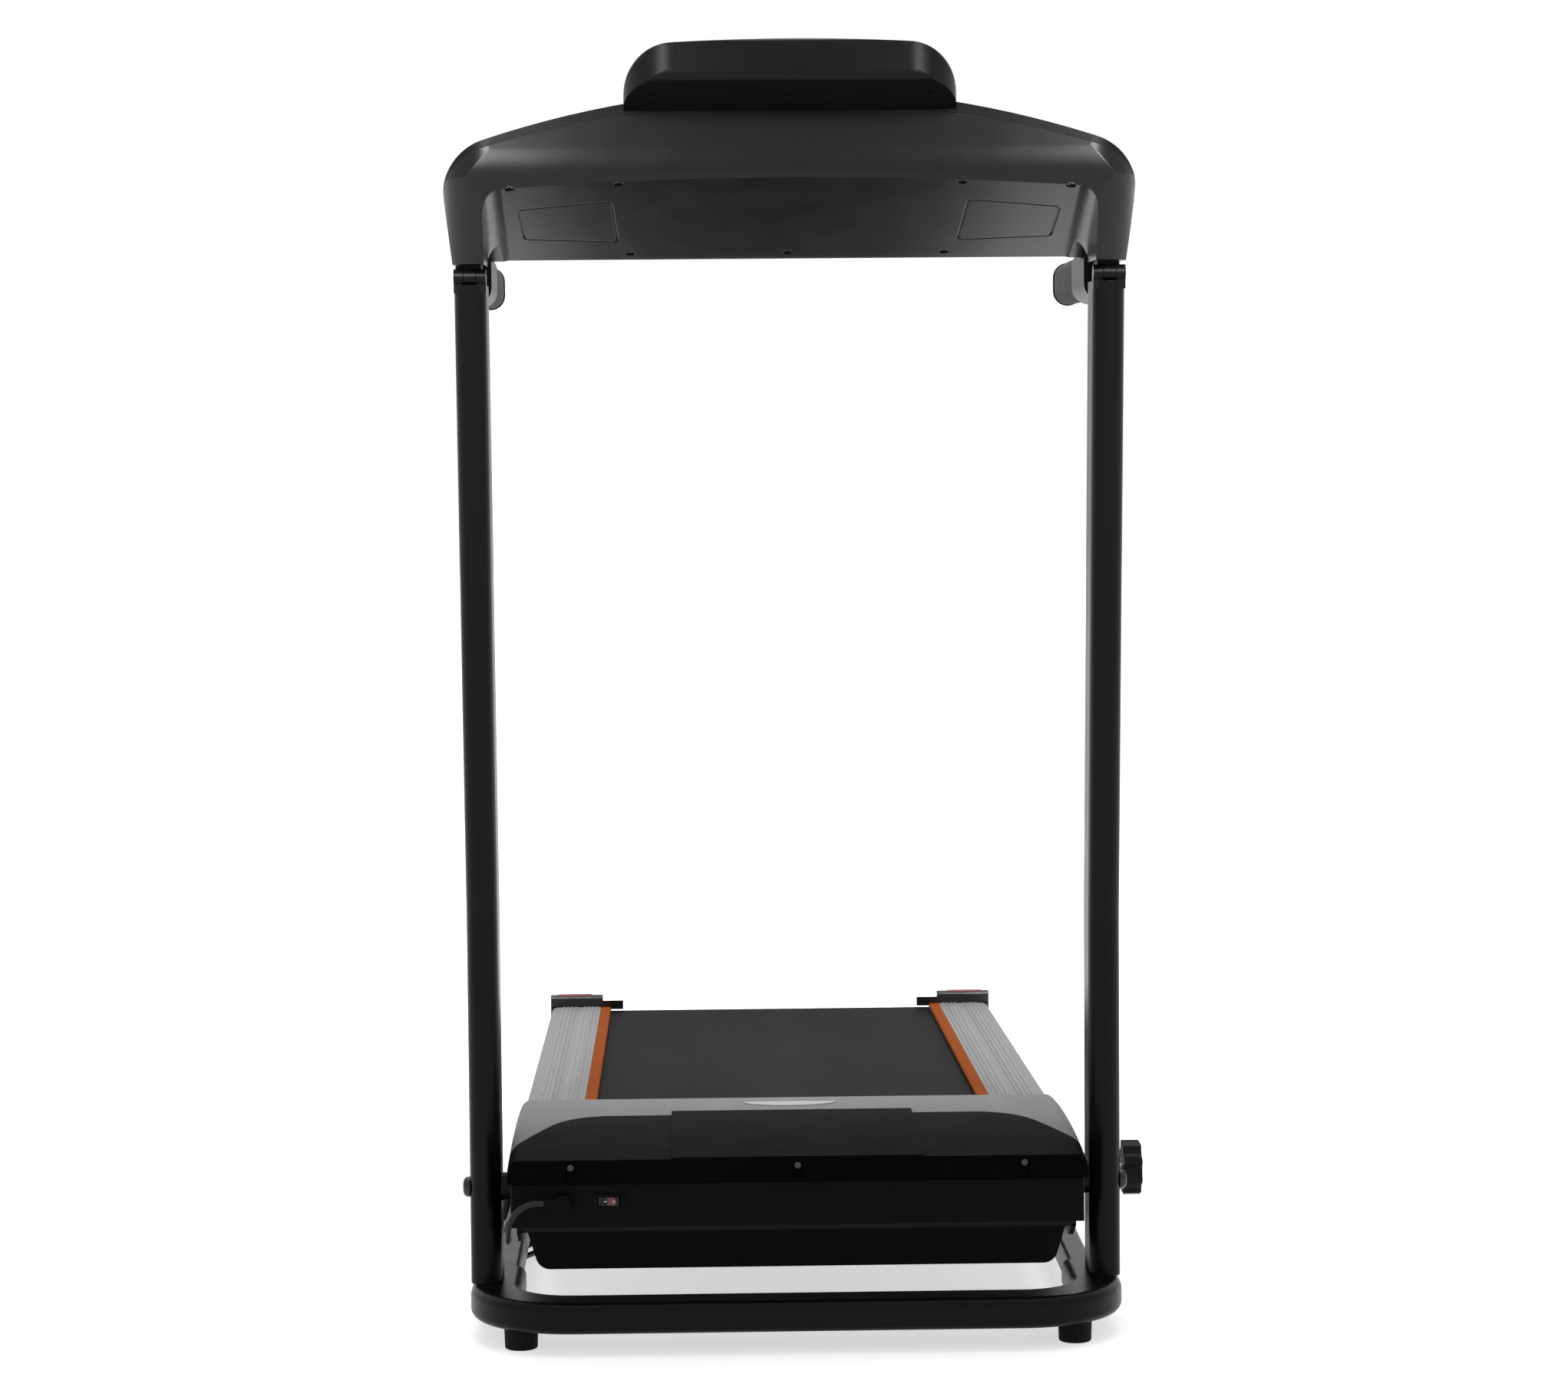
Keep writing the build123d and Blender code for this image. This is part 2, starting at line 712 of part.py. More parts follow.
cushion_count = 4
cushion_length = 60
cushion_inset = 60  # from the board's ends to the outer cushions' middles
cushion_reach = board_rear - board_front - 2 * cushion_inset
with BuildPart() as board_cushions:
    with BuildSketch(deck_level(tube_top)):
        with Locations((0, (board_front + board_rear) / 2)):
            with GridLocations(2 * tube_centre_x, cushion_reach / (cushion_count - 1), 2, cushion_count):
                RectangleRounded(tube_width - 8, cushion_length, 6)
    extrude(amount=board_bottom - tube_top)
board_cushions.part.label = "board_cushions"
export_step(board_cushions.part, "parts/board_cushions.step")

roller_span = rear_roller_at - front_roller_at
with BuildPart() as running_belt:
    with BuildSketch(deck_side(-belt_half)):
        with Locations(((front_roller_at + rear_roller_at) / 2, roller_w)):
            SlotCenterToCenter(roller_span, 2 * (roller_radius + roller_gap + belt_thickness))
            SlotCenterToCenter(roller_span, 2 * (roller_radius + roller_gap), mode=Mode.SUBTRACT)
    extrude(amount=belt_width)
running_belt.part.label = "running_belt"
export_step(running_belt.part, "parts/running_belt.step")

# Rollers: the front one carries the drive pulley on its right end
roller_half = belt_half + 3
with BuildPart() as front_roller:
    with BuildSketch(deck_side(-roller_half)):
        with Locations((front_roller_at, roller_w)):
            Circle(roller_radius)
    extrude(amount=2 * roller_half)
    with BuildSketch(deck_side(roller_half)):
        with Locations((front_roller_at, roller_w)):
            Circle(roller_pulley_diameter / 2 - 4)
    extrude(amount=pulley_inner_x - roller_half)
    with BuildSketch(deck_side(pulley_inner_x)):
        with Locations((front_roller_at, roller_w)):
            Circle(roller_pulley_diameter / 2)
    extrude(amount=pulley_width)
    with BuildSketch(deck_side(-tube_inner)):
        with Locations((front_roller_at, roller_w)):
            Circle(axle_diameter / 2 + running_fit)
    extrude(amount=2 * tube_inner, mode=Mode.SUBTRACT)
front_roller.part.label = "front_roller"
export_step(front_roller.part, "parts/front_roller.step")

with BuildPart() as rear_roller:
    with BuildSketch(deck_side(-roller_half)):
        with Locations((rear_roller_at, roller_w)):
            Circle(roller_radius)
            Circle(axle_diameter / 2 + running_fit, mode=Mode.SUBTRACT)
    extrude(amount=2 * roller_half)
rear_roller.part.label = "rear_roller"
export_step(rear_roller.part, "parts/rear_roller.step")

with BuildPart() as roller_axles:
    with BuildSketch(deck_side(-tube_inner)):
        with Locations((front_roller_at, roller_w), (rear_roller_at, roller_w)):
            Circle(axle_diameter / 2)
    extrude(amount=2 * tube_inner)
roller_axles.part.label = "roller_axles"
export_step(roller_axles.part, "parts/roller_axles.step")

tension_head = 5
tension_diameter = 6
tension_reach = 10
tension_drop = 12
block_rear = rear_roller_at + axle_block_length / 2
with BuildPart() as tension_bolts:
    with BuildSketch(deck_section(block_rear)):
        with GridLocations(2 * (tube_inner - axle_block / 2), 1, 2, 1):
            with Locations((0, roller_w - tension_drop)):
                Circle(tension_diameter / 2)
    extrude(amount=-tension_reach)
    with BuildSketch(deck_section(block_rear + tension_reach)):
        with GridLocations(2 * (tube_inner - axle_block / 2), 1, 2, 1):
            with Locations((0, roller_w - tension_drop)):
                RegularPolygon(0.92 * tension_diameter, 6)
    extrude(amount=-tension_head)
tension_bolts.part.label = "tension_bolts"
export_step(tension_bolts.part, "parts/tension_bolts.step")

# Foot rails: pressed covers over the frame tubes, with fine ribs in two bands
rail_front = hood_rear - 22
rail_rib_bands = [rail_inner + inset for inset in (15, 41)]
ribs_in_band = 4
for side, name in ((-1, "left_rail"), (1, "right_rail")):
    with BuildPart() as rail:
        with BuildSketch(deck_section(rail_front)):
            with BuildLine():
                FilletPolyline(
                    (side * deck_half_width, -rail_skirt),
                    (side * deck_half_width, rail_top),
                    (side * rail_inner, rail_top),
                    (side * rail_inner, board_top),
                    (side * (rail_inner + rail_wall), board_top),
                    (side * (rail_inner + rail_wall), rail_top - rail_wall),
                    (side * (deck_half_width - rail_wall), rail_top - rail_wall),
                    (side * (deck_half_width - rail_wall), -rail_skirt),
                    radius=(0, 7, 1.5, 0, 0, 0.5, 4, 0),
                    close=True,
                )
            make_face()
            for band in rail_rib_bands:
                for rib in range(ribs_in_band):
                    rib_x = side * (band + 2 * rib * rail_rib_width - 4 * rail_rib_width)
                    with Locations((rib_x, rail_top)):
                        Rectangle(rail_rib_width, 2 * rail_rib_height)
        extrude(amount=rail_front - cap_front)
    rail.part.label = name
    export_step(rail.part, f"parts/{name}.step")

with BuildPart() as edge_strips:
    for side in (-1, 1):
        with BuildSketch(deck_section(rail_front)):
            with BuildLine():
                FilletPolyline(
                    (side * rail_inner, rail_top),
                    (side * (rail_inner - strip_width), rail_top),
                    (side * (rail_inner - strip_width), rail_top - strip_thickness),
                    (side * rail_inner, rail_top - strip_thickness),
                    radius=(0, 2.5, 0.8, 0),
                    close=True,
                )
            make_face()
        extrude(amount=rail_front - cap_front)
edge_strips.part.label = "edge_strips"
export_step(edge_strips.part, "parts/edge_strips.step")

# Rear end caps: hollow, open in front for the frame, with a tab over the belt's edge
cap_wall = 3
cap_outer = deck_half_width + 1.5
cap_inner = rail_inner - 2
cap_bottom = tube_bottom - 4
for side, name in ((-1, "left_end_cap"), (1, "right_end_cap")):
    with BuildPart() as end_cap:
        with BuildSketch(deck_side(side * cap_inner)):
            with BuildLine():
                FilletPolyline(
                    (cap_front, cap_bottom),
                    (cap_front, end_cap_top),
                    (deck_rear - 24, end_cap_top - 6),
                    (deck_rear, end_cap_top - 30),
                    (deck_rear, cap_bottom),
                    radius=(0, 5, 20, 20, 10),
                    close=True,
                )
            make_face()
        extrude(amount=side * (cap_outer - cap_inner))
        cap_face = end_cap.faces().sort_by(Axis.X)[0 if side < 0 else -1]
        fillet(cap_face.edges().filter_by(Axis.Y, reverse=True), 1)
        with BuildSketch(deck_side(side * cap_inner)):
            with BuildLine():
                Polyline(
                    (cap_front, belt_top + 4),
                    (cap_front, end_cap_top - 8),
                    (deck_rear - 24, end_cap_top - 14),
                    (deck_rear - 12, belt_top + 4),
                    close=True,
                )
            make_face()
        extrude(amount=-side * end_cap_tab)
        with BuildSketch(deck_side(side * (cap_inner + cap_wall))):
            with BuildLine():
                Polyline(
                    (cap_front + cap_wall, end_cap_top - cap_wall - 3),
                    (deck_rear - 26, end_cap_top - cap_wall - 9),
                    (deck_rear - cap_wall, end_cap_top - 34),
                    (deck_rear - cap_wall, cap_bottom + cap_wall),
                    (cap_front, cap_bottom + cap_wall),
                    (cap_front, rail_top + rail_rib_height),
                    (cap_front + cap_wall, rail_top + rail_rib_height),
                    close=True,
                )
            make_face()
        extrude(amount=side * (cap_outer - cap_inner - 2 * cap_wall), mode=Mode.SUBTRACT)
        with BuildSketch(deck_side(side * cap_inner)):
            slot_end = rear_roller_at + axle_diameter
            with Locations(((cap_front + slot_end) / 2, roller_w)):
                Rectangle(slot_end - cap_front, 1.5 * axle_diameter)
        extrude(amount=side * cap_wall, mode=Mode.SUBTRACT)
    end_cap.part.label = name
    export_step(end_cap.part, f"parts/{name}.step")

# Motor with mounting foot, its shaft with pulley and fan, and the drive belt
motor_radius = motor_diameter / 2
motor_foot_inset = 30
motor_foot_depth = 48
with BuildPart() as motor:
    with BuildSketch(deck_side(motor_inner_x)):
        with Locations((motor_at, motor_centre)):
            Circle(motor_radius)
    extrude(amount=motor_length)
    fillet(motor.edges().filter_by(GeomType.CIRCLE), 4)
    with BuildSketch(deck_side(motor_inner_x + motor_foot_inset)):
        with Locations((motor_at, (motor_centre + cradle_top) / 2)):
            Rectangle(motor_foot_depth, motor_centre - cradle_top)
    extrude(amount=motor_length - 2 * motor_foot_inset)
    with BuildSketch(deck_side(motor_inner_x)):
        with Locations((motor_at, motor_centre)):
            Circle(shaft_diameter / 2 + running_fit)
    extrude(amount=motor_length, mode=Mode.SUBTRACT)
motor.part.label = "motor"
export_step(motor.part, "parts/motor.step")

fan_thickness = 12
with BuildPart() as motor_rotor:
    with BuildSketch(deck_side(motor_inner_x - fan_thickness - 4)):
        with Locations((motor_at, motor_centre)):
            Circle(shaft_diameter / 2)
    extrude(amount=pulley_inner_x + pulley_width + 3 - motor_inner_x + fan_thickness + 4)
    with BuildSketch(deck_side(pulley_inner_x)):
        with Locations((motor_at, motor_centre)):
            Circle(motor_pulley_diameter / 2)
    extrude(amount=pulley_width)
    with BuildSketch(deck_side(motor_inner_x - 2)):
        with Locations((motor_at, motor_centre)):
            Circle(motor_radius - 8)
            with PolarLocations(motor_radius - 18, 8):
                Circle(6, mode=Mode.SUBTRACT)
    extrude(amount=-fan_thickness)
motor_rotor.part.label = "motor_rotor"
export_step(motor_rotor.part, "parts/motor_rotor.step")


def drive_loop(extra):
    """The drive belt's outline around both pulleys, set off from them by extra."""
    with BuildSketch() as loop:
        with Locations((motor_at, motor_centre)):
            Circle(motor_pulley_diameter / 2 + extra)
        with Locations((front_roller_at, roller_w)):
            Circle(roller_pulley_diameter / 2 + extra)
        make_hull()
    return loop.sketch


with BuildPart() as drive_belt:
    with BuildSketch(deck_side(pulley_inner_x + 1)):
        add(drive_loop(roller_gap + drive_belt_thickness))
        add(drive_loop(roller_gap), mode=Mode.SUBTRACT)
    extrude(amount=pulley_width - 2)
drive_belt.part.label = "drive_belt"
export_step(drive_belt.part, "parts/drive_belt.step")

# Belly pan under the motor bay
pan_bottom = tube_bottom - pan_depth
with BuildPart() as belly_pan:
    with BuildSketch(deck_section(cross_front + 4)):
        with BuildLine():
            FilletPolyline(
                (-pan_half_width, tube_bottom),
                (-pan_half_width + pan_draft, pan_bottom),
                (pan_half_width - pan_draft, pan_bottom),
                (pan_half_width, tube_bottom),
                radius=(0, pan_corner, pan_corner, 0),
                close=True,
            )
        make_face()
    extrude(amount=cross_front + 4 - pan_rear)
    with BuildSketch(deck_section(cross_front + 4 + pan_wall)):
        with BuildLine():
            FilletPolyline(
                (-pan_half_width + pan_wall, tube_bottom),
                (-pan_half_width + pan_draft + pan_wall, pan_bottom + pan_wall),
                (pan_half_width - pan_draft - pan_wall, pan_bottom + pan_wall),
                (pan_half_width - pan_wall, tube_bottom),
                radius=(0, pan_corner - pan_wall, pan_corner - pan_wall, 0),
                close=True,
            )
        make_face()
    extrude(amount=cross_front + 4 + 2 * pan_wall - pan_rear, mode=Mode.SUBTRACT)
    with BuildSketch(deck_side(-2 * pan_half_width)):
        with Locations((mid_tube_at + mid_tube_depth / 2, tube_bottom - mid_tube_height / 2)):
            Rectangle(mid_tube_depth, mid_tube_height)
    extrude(amount=4 * pan_half_width, mode=Mode.SUBTRACT)
belly_pan.part.label = "belly_pan"
export_step(belly_pan.part, "parts/belly_pan.step")

# Motor controller: a board on four pillars that stand on the pan's floor
board_at = 60
board_length = 150
board_depth = 100
board_lift = 8
board_sheet = 1.6
pillar_inset = 7
pillar_diameter = 8
tall_parts = 28
sink_length, sink_depth = 50, 36
sink_x, sink_y = -40, 20  # from the board's middle
can_diameter = 20
can_xs, can_y = (30, 55), -20
board_inset = 67  # from the pan's side
board_x = board_inset + board_length / 2 - pan_half_width
with BuildPart() as controller_board:
    with BuildSketch(deck_level(pan_bottom + pan_wall + board_lift)):
        with Locations((board_x, board_at)):
            Rectangle(board_length, board_depth)
    extrude(amount=board_sheet)
    with BuildSketch(deck_level(pan_bottom + pan_wall)):
        with Locations((board_x, board_at)):
            with GridLocations(board_length - 2 * pillar_inset, board_depth - 2 * pillar_inset, 2, 2):
                Circle(pillar_diameter / 2)
    extrude(amount=board_lift)
    with BuildSketch(deck_level(pan_bottom + pan_wall + board_lift + board_sheet)):
        with Locations((board_x + sink_x, board_at + sink_y)):
            Rectangle(sink_length, sink_depth)
        with Locations(*[(board_x + x, board_at + can_y) for x in can_xs]):
            Circle(can_diameter / 2)
    extrude(amount=tall_parts)
controller_board.part.label = "controller_board"
export_step(controller_board.part, "parts/controller_board.step")


def hood_outline(lift, front, rear, bottom):
    """Side outline of the hood, its crowned top lifted by lift."""
    with BuildLine() as outline:
        top = ThreePointArc(
            (front, hood_front_top + lift),
            (hood_crown_at, hood_crown + lift),
            (rear, hood_rear_top + lift),
        )
        Polyline(top @ 1, (rear, bottom), (front, bottom), top @ 0)
    return outline.line


def nose_region():
    """Plan of the black nose: a tongue at the back, between corners that run out to the sides."""
    edge = hood_half_width + 5
    border = hood_front + nose_depth
    centre = (hood_half_width - nose_corner_inset, border - nose_corner_y)
    with BuildSketch() as region:
        with BuildLine():
            corner = EllipticalCenterArc(
                centre, nose_corner_x, nose_corner_y, nose_flare, arc_size=90 - nose_flare
            )
            run = (edge - (corner @ 0).X) / (corner % 0).X
            Polyline(
                corner @ 0,
                corner @ 0 + (corner % 0) * run,
                (edge, hood_front - 5),
                (0, hood_front - 5),
                (0, border),
                corner @ 1,
            )
        make_face()
        mirror(about=Plane.YZ)
        with Locations((0, border + insert_reach / 2)):
            Rectangle(2 * insert_half_width, insert_reach)
    return region.sketch


# Motor hood: one crowned shell, silver behind and a separate black nose in front
boss_x = tube_centre_x
boss_inset = 20  # from the front of the side tubes
boss_spacing = 100
cut_drop = 30  # the nose is parted off by a cut from this far under the skirt
cut_height = 120
with BuildPart() as hood_shell:
    with BuildSketch(deck_side(-hood_half_width)):
        add(hood_outline(0, hood_front, hood_rear, hood_skirt))
        make_face()
    extrude(amount=2 * hood_half_width)
    fillet(hood_shell.edges().filter_by(GeomType.CIRCLE), hood_side_round)
    with BuildSketch(deck_side(-hood_half_width + hood_wall)):
        add(hood_outline(-hood_wall, hood_front + hood_wall, hood_rear + hood_wall, hood_skirt))
        make_face()
    extrude(amount=2 * (hood_half_width - hood_wall), mode=Mode.SUBTRACT)
    with BuildSketch(deck_side(-hood_half_width + hood_wall)):
        with Locations((hood_front + 14, hood_skirt + 1.5)):
            Rectangle(28, 3)
    extrude(amount=2 * (hood_half_width - hood_wall))
    with BuildSketch(deck_level(tube_top)):
        with GridLocations(2 * boss_x, 1, 2, 1):
            with Locations(*[(0, tube_front + boss_inset + run) for run in (0, boss_spacing)]):
                Circle(6)
    extrude(amount=hood_rear_top - hood_wall / 2 - tube_top)

with BuildPart() as motor_hood:
    add(hood_shell.part)
    with BuildSketch(deck_level(hood_skirt - cut_drop)):
        add(nose_region())
    extrude(amount=cut_height, mode=Mode.SUBTRACT)
motor_hood.part.label = "motor_hood"
export_step(motor_hood.part, "parts/motor_hood.step")

screw_inset = 59.5  # from the hood's side to the outer screws
screw_xs = [place * (hood_half_width - screw_inset) for place in (-1, 0, 1)]
screw_slot = 9
screw_w = hood_skirt + 15
screw_head = 2
screw_backing = 6
with BuildPart() as hood_nose:
    add(hood_shell.part)
    with BuildSketch(deck_level(hood_skirt - cut_drop)):
        add(nose_region())
    extrude(amount=cut_height, mode=Mode.INTERSECT)
    with BuildSketch(deck_side(-insert_half_width)):
        with BuildLine():
            roof = ThreePointArc(
                (hood_front, hood_front_top + insert_lift),
                (hood_crown_at, hood_crown + insert_lift),
                (hood_rear, hood_rear_top + insert_lift),
            )
            ridge = ThreePointArc(
                (hood_front, hood_front_top - hood_wall / 2),
                (hood_crown_at, hood_crown - hood_wall / 2),
                (hood_rear, hood_rear_top - hood_wall / 2),
            )
            Line(roof @ 0, ridge @ 0)
            Line(roof @ 1, ridge @ 1)
        make_face()
        with Locations((hood_front + nose_depth + insert_reach + hood_rear, hood_crown)):
            Rectangle(2 * hood_rear, 2 * hood_rear, mode=Mode.SUBTRACT)
    extrude(amount=2 * insert_half_width)
    with BuildSketch(deck_section(hood_front + hood_wall)):
        with Locations(*[(x, (hood_skirt + hood_front_top) / 2) for x in screw_xs]):
            Rectangle(2 * screw_slot, hood_front_top - hood_skirt - hood_wall)
    extrude(amount=-screw_backing)
    with BuildSketch(deck_section(hood_front)):
        with Locations(*[(x, screw_w - screw_slot) for x in screw_xs]):
            SlotOverall(3 * screw_slot, screw_slot, rotation=90)
    extrude(amount=-hood_wall, mode=Mode.SUBTRACT)
hood_nose.part.label = "hood_nose"
export_step(hood_nose.part, "parts/hood_nose.step")

with BuildPart() as hood_screws:
    with BuildSketch(deck_section(hood_front + hood_wall)):
        with Locations(*[(x, screw_w) for x in screw_xs]):
            Circle(screw_slot / 2 - 1)
    extrude(amount=screw_head)
    fillet(hood_screws.faces().filter_by(GeomType.PLANE).sort_by(Axis.Y)[:3].edges(), 0.8)
hood_screws.part.label = "hood_screws"
export_step(hood_screws.part, "parts/hood_screws.step")

# Front panel: a shallow tray that closes the motor bay, with the switch and the cord's gland
panel_w = (panel_bottom + hood_skirt) / 2
panel_height = hood_skirt - panel_bottom
switch_body_height = switch_height - 2
gland_diameter = 18
with BuildPart() as front_panel:
    with BuildSketch(deck_section(panel_front)):
        with Locations((0, panel_w)):
            Rectangle(2 * panel_half_width, panel_height)
    extrude(amount=panel_front - cross_front)
    fillet(front_panel.faces().sort_by(Axis.Y)[0].edges(), 2.5)
    with BuildSketch(deck_section(panel_front + panel_wall)):
        with Locations((0, panel_w)):
            Rectangle(2 * (panel_half_width - panel_wall), panel_height - 2 * panel_wall)
    extrude(amount=panel_front + panel_wall - cross_front, mode=Mode.SUBTRACT)
    with BuildSketch(deck_section(panel_front)):
        with Locations((switch_x, switch_w)):
            Rectangle(switch_width - 4, switch_body_height)
        with Locations((relief_x, relief_w)):
            Circle(gland_diameter / 4)
    extrude(amount=-panel_wall, mode=Mode.SUBTRACT)
front_panel.part.label = "front_panel"
export_step(front_panel.part, "parts/front_panel.step")

# Rocker switch: a bezel with its body behind the panel, and the rocker on two trunnions
bezel_lip = 2
switch_depth = 18
rocker_axis_v = panel_front - bezel_lip + 5
trunnion_radius = 1.5
rocker_cavity = rocker_width + 2
with BuildPart() as switch_bezel:
    with BuildSketch(deck_section(panel_front)):
        with Locations((switch_x, switch_w)):
            RectangleRounded(switch_width, switch_height, 1.5)
    extrude(amount=bezel_lip)
    with BuildSketch(deck_section(panel_front)):
        with Locations((switch_x, switch_w)):
            Rectangle(switch_width - 4, switch_body_height)
    extrude(amount=-switch_depth)
    with BuildSketch(deck_section(panel_front - bezel_lip)):
        with Locations((switch_x, switch_w)):
            Rectangle(rocker_cavity, rocker_height + 2 * slide_fit)
    extrude(amount=-switch_depth + 2, mode=Mode.SUBTRACT)
    with BuildSketch(deck_level(switch_w - switch_body_height / 2 + 0.5)):
        with Locations((switch_x, rocker_axis_v)):
            Circle(trunnion_radius + running_fit)
    extrude(amount=switch_body_height - 1, mode=Mode.SUBTRACT)
switch_bezel.part.label = "switch_bezel"
export_step(switch_bezel.part, "parts/switch_bezel.step")

rocker_plane = Plane(
    origin=deck.from_local_coords(Vector(switch_x, rocker_axis_v, switch_w)),
    x_dir=deck.x_dir,
    z_dir=deck.z_dir,
).rotated((0, 0, -rocker_swing / 2))
with BuildPart() as rocker:
    with BuildSketch(rocker_plane.offset(-rocker_height / 2)):
        with BuildLine():
            FilletPolyline(
                (-rocker_width / 2, 3),
                (-rocker_width / 2, -5.6),
                (0, -4.6),
                (rocker_width / 2, -5.6),
                (rocker_width / 2, 3),
                radius=(0, 0.8, 6, 0.8, 0),
                close=True,
            )
        make_face()
    extrude(amount=rocker_height)
    with BuildSketch(rocker_plane.offset(-switch_body_height / 2 + 0.6)):
        Circle(trunnion_radius)
    extrude(amount=switch_body_height - 1.2)
rocker.part.label = "rocker"
export_step(rocker.part, "parts/rocker.step")

# Gland with a tapered sleeve that points left along the panel
sleeve_length = 20
sleeve_base = 6.5
sleeve_start = deck.from_local_coords(Vector(relief_x, panel_front - 9, relief_w))
sleeve_dir = (deck.from_local_coords(Vector(-0.93, -0.35, 0.1)) - deck.origin).normalized()
sleeve_plane = Plane(origin=sleeve_start, z_dir=sleeve_dir)
with BuildPart() as strain_relief:
    with BuildSketch(deck_section(panel_front)):
        with Locations((relief_x, relief_w)):
            Circle(gland_diameter / 2)
    extrude(amount=15)
    fillet(strain_relief.faces().sort_by(Axis.Y)[0].edges(), 5)
    with BuildSketch(deck_section(panel_front)):
        with Locations((relief_x, relief_w)):
            Circle(gland_diameter / 4)
    extrude(amount=-panel_wall)
    with BuildSketch(sleeve_plane):
        Circle(sleeve_base)
    with BuildSketch(sleeve_plane.offset(sleeve_length)):
        Circle(cord_diameter / 2 + 1.2)
    loft()
strain_relief.part.label = "strain_relief"
export_step(strain_relief.part, "parts/strain_relief.step")

# Console: one hollow body, parted into a lower shell and an upper shell with a dark rim
console_reach = 2 * console_half_width
under_run = Vector(0, underside_y - crest_y, underside_z - crest_z)
under_dir = under_run.normalized()
under_down = under_dir.cross(Vector(1, 0, 0))
desk_run = Vector(0, desk_rear_y - desk_front_y, desk_rear_z - desk_front_z)
desk_normal = Vector(1, 0, 0).cross(desk_run.normalized())
desk_plane = Plane(origin=(0, desk_front_y, desk_front_z), x_dir=(1, 0, 0), z_dir=desk_normal)


def console_front(inset, drop=0, shoulder_drop=0, side_drop=0):
    """Front outline of the console, set in by inset and lowered in the middle, shoulders and sides."""
    shoulder = Vector(shoulder_x, shoulder_z - shoulder_drop)
    widest = Vector(console_half_width, console_side_z - side_drop)
    chord = widest - shoulder
    bulge = shoulder + chord / 2 + Vector(-chord.Y, chord.X).normalized() * shoulder_bulge
    with BuildSketch() as face:
        with BuildLine():
            arch = ThreePointArc(
                (-shoulder.X, shoulder.Y), (0, arch_top_z - drop), (shoulder.X, shoulder.Y)
            )
            right = ThreePointArc(arch @ 1, (bulge.X, bulge.Y), (widest.X, widest.Y))
            left = ThreePointArc(arch @ 0, (-bulge.X, bulge.Y), (-widest.X, widest.Y))
            Polyline(
                right @ 1,
                (leg_outer_x, leg_bottom_z - drop),
                (-leg_outer_x, leg_bottom_z - drop),
                left @ 1,
            )
        make_face()
        if inset:
            offset(amount=-inset, kind=Kind.INTERSECTION)
    return face.sketch


def arch_at(run):
    """How much lower the underside is beside the legs than in the middle, run along it."""
    return underside_arch * (1 - run / under_run.length)


def console_side(inset):
    """Side outline of the console with its legs, before the hollow under the desk is cut."""
    share = (leg_rear_y - crest_y) / under_run.Y
    leg_top_z = crest_z + under_run.Z * share - 1.2 * arch_at(share * under_run.length)
    with BuildSketch() as face:
        with BuildLine():
            FilletPolyline(
                (crest_y, crest_z),
                (desk_front_y, desk_front_z),
                (desk_rear_y, desk_rear_z),
                (underside_y, underside_z - 1),
                (leg_rear_y, leg_top_z - 1),
                (leg_rear_y, leg_bottom_z),
                (leg_front_y, leg_bottom_z),
                radius=(crest_round, 0, 0, 0, 0, 0, 0),
                close=True,
            )
        make_face()
        if inset:
            offset(amount=-inset, kind=Kind.INTERSECTION)
    return face.sketch


def under_hollow(extra):
    """The space between the legs and under the desk, grown by extra."""
    margin = under_run.length / 3
    wide = leg_inner_x + extra
    with BuildPart() as hollow:
        for run in (-margin, under_run.length + margin):
            start = Vector(0, crest_y, crest_z) + under_dir * run
            with BuildSketch(Plane(origin=start, x_dir=(1, 0, 0), z_dir=under_dir)) as section:
                with BuildLine():
                    top = ThreePointArc(
                        (-wide, arch_at(run) - extra), (0, -extra), (wide, arch_at(run) - extra)
                    )
                    deep = under_run.length
                    Polyline(top @ 1, (wide, deep), (-wide, deep), top @ 0)
                make_face()
                fillet(section.vertices().sort_by(Axis.Y)[:2], underside_corner + extra)
        loft()
    return hollow.part


def rounded_front(inset, half, corner, foot, lean):
    """A tall form behind a front face through foot that leans along lean, with rounded corners."""
    slope = lean.Y / lean.Z
    low = leg_bottom_z - front_height
    front = foot.Y + slope * (low - foot.Z) + inset * sqrt(1 + slope**2)
    with BuildPart() as form:
        with BuildSketch(Plane.XY.offset(low)):
            with Locations((0, front + console_reach / 2)):
                RectangleRounded(2 * (half - inset), console_reach, corner - inset)
        extrude(amount=console_reach, dir=Vector(0, slope, 1).normalized())
    return form.part


def console_solid(inset):
    """The console's outer form, or its inside where inset is the wall."""
    with BuildPart() as solid:
        with BuildSketch(Plane.XZ):
            add(console_front(inset))
        extrude(amount=console_reach + console_half_width)
        with BuildSketch(Plane.YZ.offset(-console_reach / 2)):
            add(console_side(inset))
        extrude(amount=console_reach, mode=Mode.INTERSECT)
        crest = Vector(0, crest_y, crest_z)
        for end in (Vector(0, desk_front_y, desk_front_z), Vector(0, leg_front_y, leg_bottom_z)):
            corners = rounded_front(inset, console_half_width, console_corner, crest, end - crest)
            add(corners, mode=Mode.INTERSECT)
        add(under_hollow(inset), mode=Mode.SUBTRACT)
    return solid.part


console_form = console_solid(0)
console_inside = console_solid(console_wall)
stub_x = upright_x
stub_front = hinge_y + 1.5 * knuckle_radius + 1
stub_rear = stub_front + stub_depth
stub_bottom = upright_top_z + stub_gap
with BuildPart() as console_shell:
    add(console_form)
    add(console_inside, mode=Mode.SUBTRACT)

